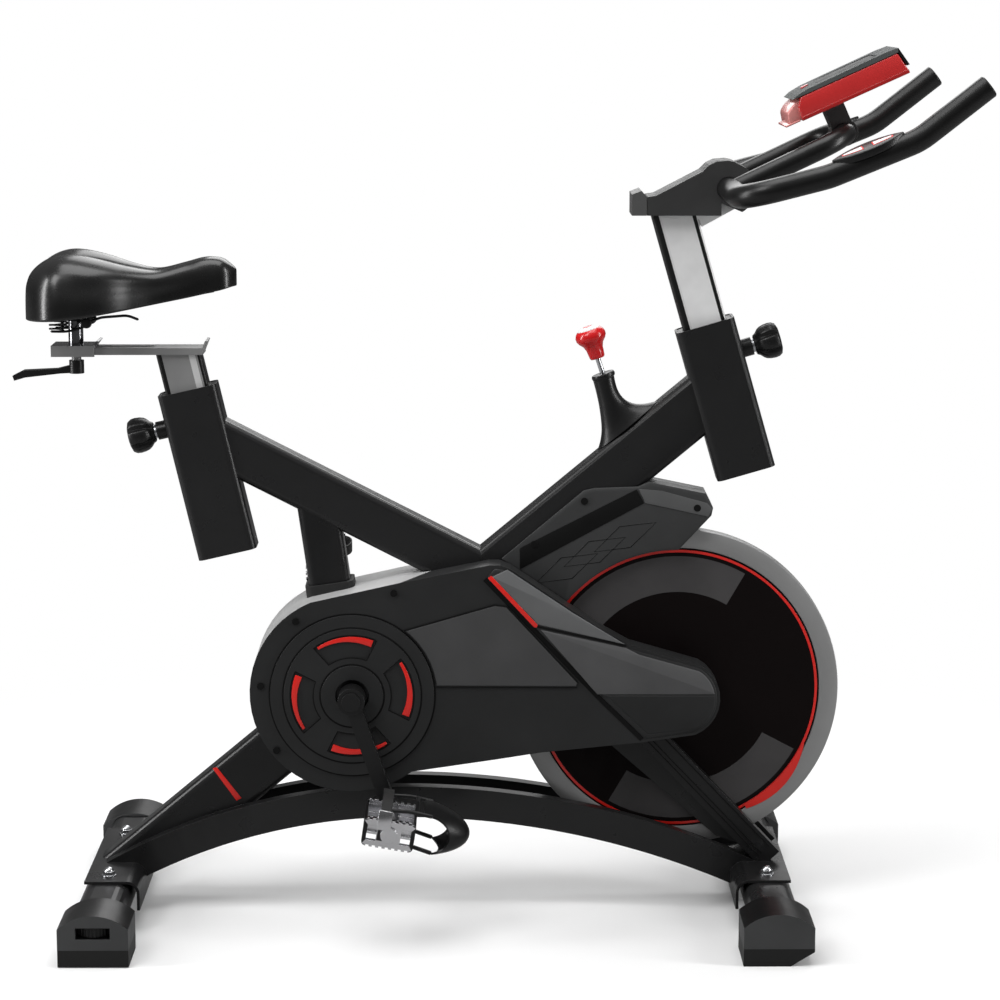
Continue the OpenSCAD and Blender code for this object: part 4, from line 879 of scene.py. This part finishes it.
def build_seams_and_shade():
    """The seam beside the nose piece, the seam round the crank disc with painted shade in its grooves
    and round its windows, and painted shade beside the fork ribs.
    """
    gap = stroke("gap", [(-3, 438.5), (142.6, 283.6), (194.6, 232.2)], 6.0, -62.0, LINE, -0.5)
    lines = [gap]
    # the outer ring is the seam round the crank disc; the inner rings and the window edges are painted
    # shade in its grooves and recesses
    for radius, y in ((104.2, -62.0), (87.2, -65.0), (40.4, -66.3)):
        ring = stroke("groove", arc(CRANK, radius, 0, 357, 160), 2.0, y, LINE, -0.15, closed=True)
        lines.append(ring)
    for start in WINDOW_STARTS:
        edge = arc(CRANK, 78, start, start + 62, 20) + arc(CRANK, 49, start + 60, start + 2, 16)
        lines.append(stroke("window", edge, 1.3, -66.2, LINE, -0.2, closed=True))
    lines.append(stroke("panel_edge", PANEL_LINE, 1.6, -63.4, LINE, -0.3, closed=True))
    show(join("cover_seams_and_shade", *lines, *fork_rib_shade()), "base", "black_rubber")


def build_panel():
    sheet = plate("panel_sheet", inset(PANEL_LINE, 1.6), -63.2, -63.75, 0.4, 0.2, PANEL, edge=0)
    show(sheet, "base", "cover_plastic")


def window_arc(start):
    """A red arc in a crank disc window, thinning from one end to the other."""
    first, sweep, steps = start + 3, 56, 24
    line = arc(CRANK, 76, first, first + sweep, steps)
    for i in range(steps + 1):
        t = 1 - i / steps
        a = math.radians(first + sweep * t)
        r = 67 + 5.5 * t
        line.append((CRANK[0] + r * math.cos(a), CRANK[1] + r * math.sin(a)))
    return line


def build_red_marks():
    """The stripe beside the nose piece, the four window arcs, and the band on the main beam."""
    trims = []
    stripe = [(0.5, 440.5), (58.5, 377.5), (61.5, 377.5), (63, 380.5), (5, 443.5)]
    trims.append(slab("stripe", stripe, -64.9, -65.6, RED, edge=0.2))
    for start in WINDOW_STARTS:
        trims.append(slab("arc", window_arc(start), -64.7, -66.2, RED, edge=0.3))
    band = [(-351, 184.5), (-345.5, 186), (-314.5, 145), (-321, 141.5)]
    trims.append(slab("band", band, -21.6, -22.1, RED, edge=0.1))
    show(join("red_marks", *trims), "base", "red_vinyl", "red_trims")


build_nose_piece()
build_seams_and_shade()
build_panel()
build_red_marks()
build_guard(-1, "right", "wheel_guards")
build_guard(1, "left")


# ---------------------------------------------------------------- brake

# the mouth of the boot, the way the rod comes out of it, and the boot's outline from there down
BRAKE = (144.9, 689.2)
BRAKE_UP = (-0.310, 0.0, 0.951)
BOOT_BACK = [(131.6, 684.8), (136.5, 667), (140.5, 649), (143, 632), (144, 617), (142.5, 603.5),
             (139.4, 592.6)]
BOOT_FRONT = [(158.2, 693.6), (161, 678), (165.5, 665.5), (173, 656.5), (184, 651.2), (198, 650.6),
              (213.2, 653.9)]
BOOT_HALF = [14, 13.6, 13.8, 14.6, 16.2, 18.4, 20.6]


def along_line(line, t):
    """A smooth point at step t of a list of side view points."""
    return [table([(i, p[axis]) for i, p in enumerate(line)], t) for axis in (0, 1)]


def build_boot(up):
    """The horn that rises from the frame to the brake rod: oval rings between two side view lines."""
    steps = 48
    rings = 36
    verts = []
    for k in range(rings + 1):
        t = k / rings * (len(BOOT_HALF) - 1)
        bx, bz = along_line(BOOT_BACK, t)
        fx, fz = along_line(BOOT_FRONT, t)
        half = table(list(enumerate(BOOT_HALF)), t)
        for i in range(steps):
            a = 2 * math.pi * i / steps
            w = math.cos(a)
            verts.append(((bx + fx) / 2 + w * (fx - bx) / 2, half * math.sin(a),
                          (bz + fz) / 2 + w * (fz - bz) / 2))
    horn = smooth(new_mesh("horn", verts, ring_faces(rings + 1, steps), BLACK), 50.0)
    collar = lathe("lip", [(5.2, -6), (5.2, 0.2), (12.6, 0.2), (14.4, -0.6), (15.1, -3), (14.4, -5.6),
                           (13.0, -6.6)], up, BLACK, steps=64, closed_ends=False)
    show(join("brake_horn", horn, collar), "base", "black_plastic", "brake_boot")


def build_brake_knob(up):
    profile = [(4.2, 20), (8.6, 20.4), (9.6, 22), (10.2, 27), (10.8, 33), (13.0, 38.5), (17.0, 43),
               (19.2, 47), (19.4, 51), (17.8, 55), (15.6, 57.6), (14.4, 58.2)]
    knob = lathe("knob", profile, up, KNOB_RED, steps=80)
    cap = lathe("knob_cap", [(14.2, 57.8), (13.8, 59.4), (11.0, 61.0), (6.0, 61.8), (0.4, 62.0)], up,
                WHITE, steps=80)
    dot = lathe("knob_dot", [(6.4, 61.2), (6.2, 62.1), (3.0, 62.4), (0.3, 62.5)], up, KNOB_RED, steps=40)
    show(join("brake_knob_ball", knob, cap, dot), "brake_knob_body", "knob_red", "brake_knob")


brake_axis = frame_matrix((BRAKE[0], 0, BRAKE[1]), BRAKE_UP)
build_boot(brake_axis)
build_brake_knob(brake_axis)


# ---------------------------------------------------------------- pull knobs

SLEEVE_HALF = 37.5
COLLAR_LENGTH = 14


def build_pull_knob(name, node_name, body, place, out):
    """A star knob on its neck, pointing out of a sleeve from a place on the sleeve's middle line."""
    m = frame_matrix((place[0], 0, place[1]), out)
    face = SLEEVE_HALF + COLLAR_LENGTH
    neck = lathe("neck", [(5, face - 10), (8.2, face - 9), (8.6, face + 2), (11, face + 3.4)], m, STEEL,
                 steps=48)
    grip = lathe("grip", [(10.8, face + 2.2), (12.6, face + 3), (14.2, face + 6), (18.2, face + 9.5),
                          (20.6, face + 13), (22.0, face + 18), (22.6, face + 24), (22.0, face + 29),
                          (19.6, face + 33), (14.0, face + 35), (6.0, face + 35.6), (0.4, face + 35.7)],
                 m, BLACK, steps=120, lobes=6, depth=0.17)
    show(join(name, neck, grip), body, "black_plastic", node_name)


# ---------------------------------------------------------------- console and pads

def side_frame(origin, degrees):
    """Local X along a side view angle, local Y square above it, local Z to the rider's right."""
    a = math.radians(degrees)
    x = Vector((math.cos(a), 0, math.sin(a)))
    z = Vector((0, -1, 0))
    m = Matrix((x, z.cross(x), z)).transposed().to_4x4()
    m.translation = Vector((origin[0], 0, origin[1])) * MM
    return m


def build_console():
    """The red shell with its darker foot band, and the pink wedge and lip at its near end."""
    m = side_frame(CONSOLE_SEAT, CONSOLE_LEAN)
    shell = extrude("shell", [(-2, 0), (139, 0), (139, 5), (135, 27.8), (6, 27.8), (-1, 17)], -52, 52, m,
                    CONSOLE, edge=2.2)
    band = extrude("band", [(-2.5, -0.4), (139.6, -0.4), (139.6, 4.4), (-2.2, 4.4)], -52.5, 52.5, m,
                   CONSOLE_DARK, edge=0.8)
    wedge = extrude("wedge", [(-19, 1), (0, 1), (8, 27), (-9, 20), (-16, 14.5)], -46, 46, m, PINK,
                    edge=2.4)
    lip = extrude("lip", [(-24, 0), (-4, 0), (-4, 2.4), (-23, 2.4)], -47, 47, m, PINK, edge=1.0)
    show(join("console_shell", shell, band, wedge, lip), "console_body", "red_plastic",
         "console_base")


def lens_outline(length, half):
    """A pointed lens of two arcs, given its half length and half width."""
    r = (length * length + half * half) / (2 * half)
    turn = math.degrees(math.asin(length / r))
    low = arc((0, r - half), r, -90 - turn, -90 + turn, 28)
    high = arc((0, half - r), r, 90 - turn, 90 + turn, 28)
    return low + high[1:-1]


def build_pads():
    """A black lens on each arm of the bar, with two white sensor plates edged in red."""
    degrees = math.degrees(math.atan2(42.5, 105.0))
    a = math.radians(degrees)
    lean = math.radians(10)
    middle, white_half, red_edge = 54.3, 5.5, 1.6
    start = Vector((400, 0, 948))
    along_bar = Vector((math.cos(a), 0, math.sin(a)))
    up = Vector((-math.sin(a), 0, math.cos(a)))
    pieces = []
    for side in (-1, 1):
        normal = up * math.cos(lean) + Vector((0, side, 0)) * math.sin(lean)
        m = Matrix((along_bar, normal.cross(along_bar), normal)).transposed().to_4x4()
        m.translation = (start + along_bar * middle + Vector((0, side * BAR_HALF_WIDTH, 0))) * MM
        pieces.append(extrude("lens", lens_outline(45.5, 17.5), 8, 17.2, m, BLACK, edge=1.4))
        for x0, x1 in ((-33, -5), (5, 33)):
            near = [p for p in lens_outline(40, white_half + 2) if x0 <= p[0] <= x1]
            pieces.append(extrude("red", near, 17.0, 17.5, m, RED, edge=0.0))
            pieces.append(extrude("white", inset(near, red_edge), 17.0, 17.9, m, WHITE, edge=0.2))
    show(join("pulse_lenses", *pieces), "bar_body", "pad_steel", "pulse_pads")


build_console()
build_pads()
build_pull_knob("seat_star_knob", "seat_knob", "seat_knob_body", (-365.4, 628.0),
                (-math.cos(math.radians(SEAT_LEAN)), 0, -math.sin(math.radians(SEAT_LEAN))))
build_pull_knob("head_star_knob", "head_knob", "head_knob_body", (283.6, 709.9),
                (math.cos(math.radians(BAR_LEAN)), 0, math.sin(math.radians(BAR_LEAN))))


# ---------------------------------------------------------------- pedals

# the near pedal is a little toe down; the far one hangs toe down behind the strut
PEDAL_TILT = {"right": math.radians(10), "left": math.radians(90)}
CRANK_LEAN = math.radians(19)
CRANK_LENGTH = 150
PEDAL_INNER, PEDAL_MIDDLE, PEDAL_OUTER = 118, 152, 186


def pedal_place(side):
    """A function that carries a point (x forward, y out from the mid-plane, z up) onto the pedal."""
    flip = 1 if side == "right" else -1
    centre = (CRANK[0] + flip * CRANK_LENGTH * math.sin(CRANK_LEAN),
              CRANK[1] - flip * CRANK_LENGTH * math.cos(CRANK_LEAN))
    c, s = math.cos(PEDAL_TILT[side]), math.sin(PEDAL_TILT[side])

    def place(x, y, z):
        return Vector((centre[0] + x * c + z * s, -flip * y, centre[1] - x * s + z * c))
    return place


def toe_hood(place):
    """The hood: rounded in plan, open at both sides."""
    across, along_arc = 20, 26
    verts, faces = [], []
    for i in range(across + 1):
        t = 2 * i / across - 1
        nose = 98 - 24 * abs(t) ** 2.2
        for k in range(along_arc + 1):
            v = math.radians(-68 + 165 * k / along_arc)
            x = 44 + (nose - 44) * max(-0.25, math.cos(v))
            z = 4 + (24 + 3 * (1 - t * t)) * math.sin(v)
            verts.append(place(x, PEDAL_MIDDLE + (PEDAL_OUTER - PEDAL_MIDDLE) * t, z))
    row = along_arc + 1
    for i in range(across):
        for k in range(along_arc):
            faces.append([i * row + k, (i + 1) * row + k, (i + 1) * row + k + 1, i * row + k + 1])
    hood = new_mesh("hood", verts, faces, BLACK)
    add_modifier(hood, "SOLIDIFY", thickness=2.6 * MM, offset=0.0)
    apply_modifiers(hood)
    return smooth(hood, 40.0)


def toe_rails(place):
    """The two wires beside the shoe on each side, and the bridge over it."""
    rails = []
    for y in (PEDAL_INNER, PEDAL_OUTER):
        top = rounded_path([place(50, y, 28.5), place(20, y, 30), place(-6, y, 27), place(-12, y, 12)],
                           [0, 30, 10, 0], 3.0)
        low = [place(56, y, -17.5), place(31, y, -13)]
        rails.append(tube("rail", top, 2.6, BLACK, steps=16))
        rails.append(tube("rail", low, 2.6, BLACK, steps=16))
    bridge = rounded_path([place(30, PEDAL_INNER, 30), place(30, PEDAL_MIDDLE, 33),
                           place(30, PEDAL_OUTER, 30)], [0, 30, 0], 3.0)
    rails.append(tube("bridge", bridge, 2.4, BLACK, steps=16))
    return rails


def toe_strap(place):
    """The strap over the shoe and down beside the outer plate."""
    strap = [(200, -8), (200.5, 14), (197, 29), (180, 38), (152, 41), (126, 38), (114, 30), (110, 12)]
    strap_verts, strap_faces = [], []
    for y, z in strap:
        strap_verts += [place(-14, y, z), place(-1, y, z)]
    for k in range(len(strap) - 1):
        strap_faces.append([2 * k, 2 * k + 1, 2 * k + 3, 2 * k + 2])
    band = new_mesh("strap", strap_verts, strap_faces, RUBBER)
    add_modifier(band, "SUBSURF", levels=2, render_levels=2, boundary_smooth="PRESERVE_CORNERS")
    add_modifier(band, "SOLIDIFY", thickness=1.8 * MM, offset=0.0)
    apply_modifiers(band)
    return smooth(band, 50.0)


def toe_buckle(place):
    """A small plate outside the strap."""
    corner = [place(-16, 201.6, 6), place(1, 201.6, 6), place(1, 199, 30), place(-16, 199, 30)]
    out = (place(0, 1.6, 0) - place(0, 0, 0))
    faces = [[0, 1, 2, 3], [7, 6, 5, 4], [0, 4, 5, 1], [1, 5, 6, 2], [2, 6, 7, 3], [3, 7, 4, 0]]
    buckle = new_mesh("buckle", corner + [p + out for p in corner], faces, ALLOY)
    return round_edges(buckle, 0.5)


def build_toe_clip(side):
    place = pedal_place(side)
    pieces = [toe_hood(place), *toe_rails(place), toe_strap(place), toe_buckle(place)]
    show(join(side + "_toe_cage", *pieces), side + "_pedal_body", "black_plastic", side + "_toe_clip")


def paint_pedal(side):
    """Black faces at the pedal's front and back ends."""
    end = 28.6
    place = pedal_place(side)
    origin = place(0, 0, 0)
    forward = (place(1, 0, 0) - origin).normalized()
    paint_faces(side + "_pedal", BLACK, lambda n, c: abs((c - origin).dot(forward)) > end)


for pedal_side in ("right", "left"):
    build_toe_clip(pedal_side)
    paint_pedal(pedal_side)


# ---------------------------------------------------------------- stage, light, camera

PAGE_TONE = 0.90
BOUNCE_TONE = 0.30
WORLD_LOW = 0.06
WORLD_HIGH = 0.45
FLOOR_HALF = 9000


def area_light(name, place, aim, size, power, size_y=None):
    """A soft rectangular light, sizes and places in metres."""
    data = bpy.data.lights.new(name, "AREA")
    data.shape = "RECTANGLE"
    data.size = size
    data.size_y = size_y or size
    data.energy = power
    obj = bpy.data.objects.new(name, data)
    obj.location = place
    obj.rotation_euler = (Vector(aim) - Vector(place)).to_track_quat("-Z", "Y").to_euler()
    bpy.context.scene.collection.objects.link(obj)


def grey(tone):
    return (tone, tone, tone, 1)


def mix_shaders(tree, factor, under, over):
    node = tree.nodes.new("ShaderNodeMixShader")
    link(tree, factor, node.inputs["Fac"])
    link(tree, under, node.inputs[1])
    link(tree, over, node.inputs[2])
    return node.outputs["Shader"]


def build_floor():
    """A pale floor that fades to white away from the bike and throws little light back."""
    paint = finish("floor_pale", (PAGE_TONE,) * 3, 0.75, bump=0.0, vary=0.01, specular=0.1)
    tree = paint.node_tree
    shader = tree.nodes["Principled BSDF"]
    camera_ray = tree.nodes.new("ShaderNodeLightPath").outputs["Is Camera Ray"]
    tone = mix_color(tree, camera_ray, grey(BOUNCE_TONE), grey(PAGE_TONE))
    link(tree, tone, shader.inputs["Base Color"])
    glow = tree.nodes.new("ShaderNodeEmission")
    distance = tree.nodes.new("ShaderNodeVectorMath")
    distance.operation = "LENGTH"
    link(tree, tree.nodes.new("ShaderNodeTexCoord").outputs["Object"], distance.inputs[0])
    fade = map_range(tree, distance.outputs["Value"], (0.35, 1.4), kind="SMOOTHSTEP")
    seen = tree.nodes.new("ShaderNodeMath")
    seen.operation = "MULTIPLY"
    link(tree, fade, seen.inputs[0])
    link(tree, camera_ray, seen.inputs[1])
    blend = mix_shaders(tree, seen.outputs["Value"], shader.outputs["BSDF"], glow.outputs["Emission"])
    link(tree, blend, tree.nodes["Material Output"].inputs["Surface"])
    r = FLOOR_HALF
    floor = new_mesh("floor", [(-r, -r, 0), (r, -r, 0), (r, r, 0), (-r, r, 0)], [[0, 1, 2, 3]], paint)


def build_world():
    """White to the camera; to the bike, dim at eye level and brighter overhead."""
    world = bpy.data.worlds.new("studio")
    bpy.context.scene.world = world
    world.use_nodes = True
    tree = world.node_tree
    seen = tree.nodes["Background"]
    seen.inputs["Color"].default_value = grey(1)
    fill = tree.nodes.new("ShaderNodeBackground")
    height = tree.nodes.new("ShaderNodeSeparateXYZ")
    link(tree, tree.nodes.new("ShaderNodeTexCoord").outputs["Generated"], height.inputs[0])
    strength = map_range(tree, height.outputs["Z"], (0.0, 0.9), (WORLD_LOW, WORLD_HIGH))
    link(tree, strength, fill.inputs["Strength"])
    camera_ray = tree.nodes.new("ShaderNodeLightPath").outputs["Is Camera Ray"]
    blend = mix_shaders(tree, camera_ray, fill.outputs["Background"], seen.outputs["Background"])
    link(tree, blend, tree.nodes["World Output"].inputs["Surface"])


def build_lights():
    area_light("key", (-1.8, -1.8, 3.0), (0, 0, 0.5), 1.4, 42)
    area_light("left strip", (-3.0, -0.6, 1.2), (0, 0, 0.6), 0.5, 55, size_y=2.4)
    area_light("right strip", (3.0, -0.9, 1.4), (0, 0, 0.6), 0.5, 50, size_y=2.4)
    area_light("back", (0.4, 2.8, 2.4), (0, 0, 0.5), 2.4, 45)
    area_light("top", (0.0, -0.2, 3.4), (0, 0, 0), 2.2, 55)


def build_camera():
    """The photograph's camera, solved from the bike's parallel and symmetric features."""
    data = bpy.data.cameras.new("camera")
    data.lens = 104.27
    data.sensor_width = 36.0
    data.clip_end = 50.0
    camera = bpy.data.objects.new("camera", data)
    camera.location = (-0.010, -3.6051, 1.1682)
    camera.rotation_euler = (math.radians(90 - 10.07), 0.0, math.radians(-0.416))
    bpy.context.scene.collection.objects.link(camera)
    bpy.context.scene.camera = camera
    bpy.context.scene.view_settings.view_transform = "Standard"


build_floor()
build_world()
build_lights()
build_camera()
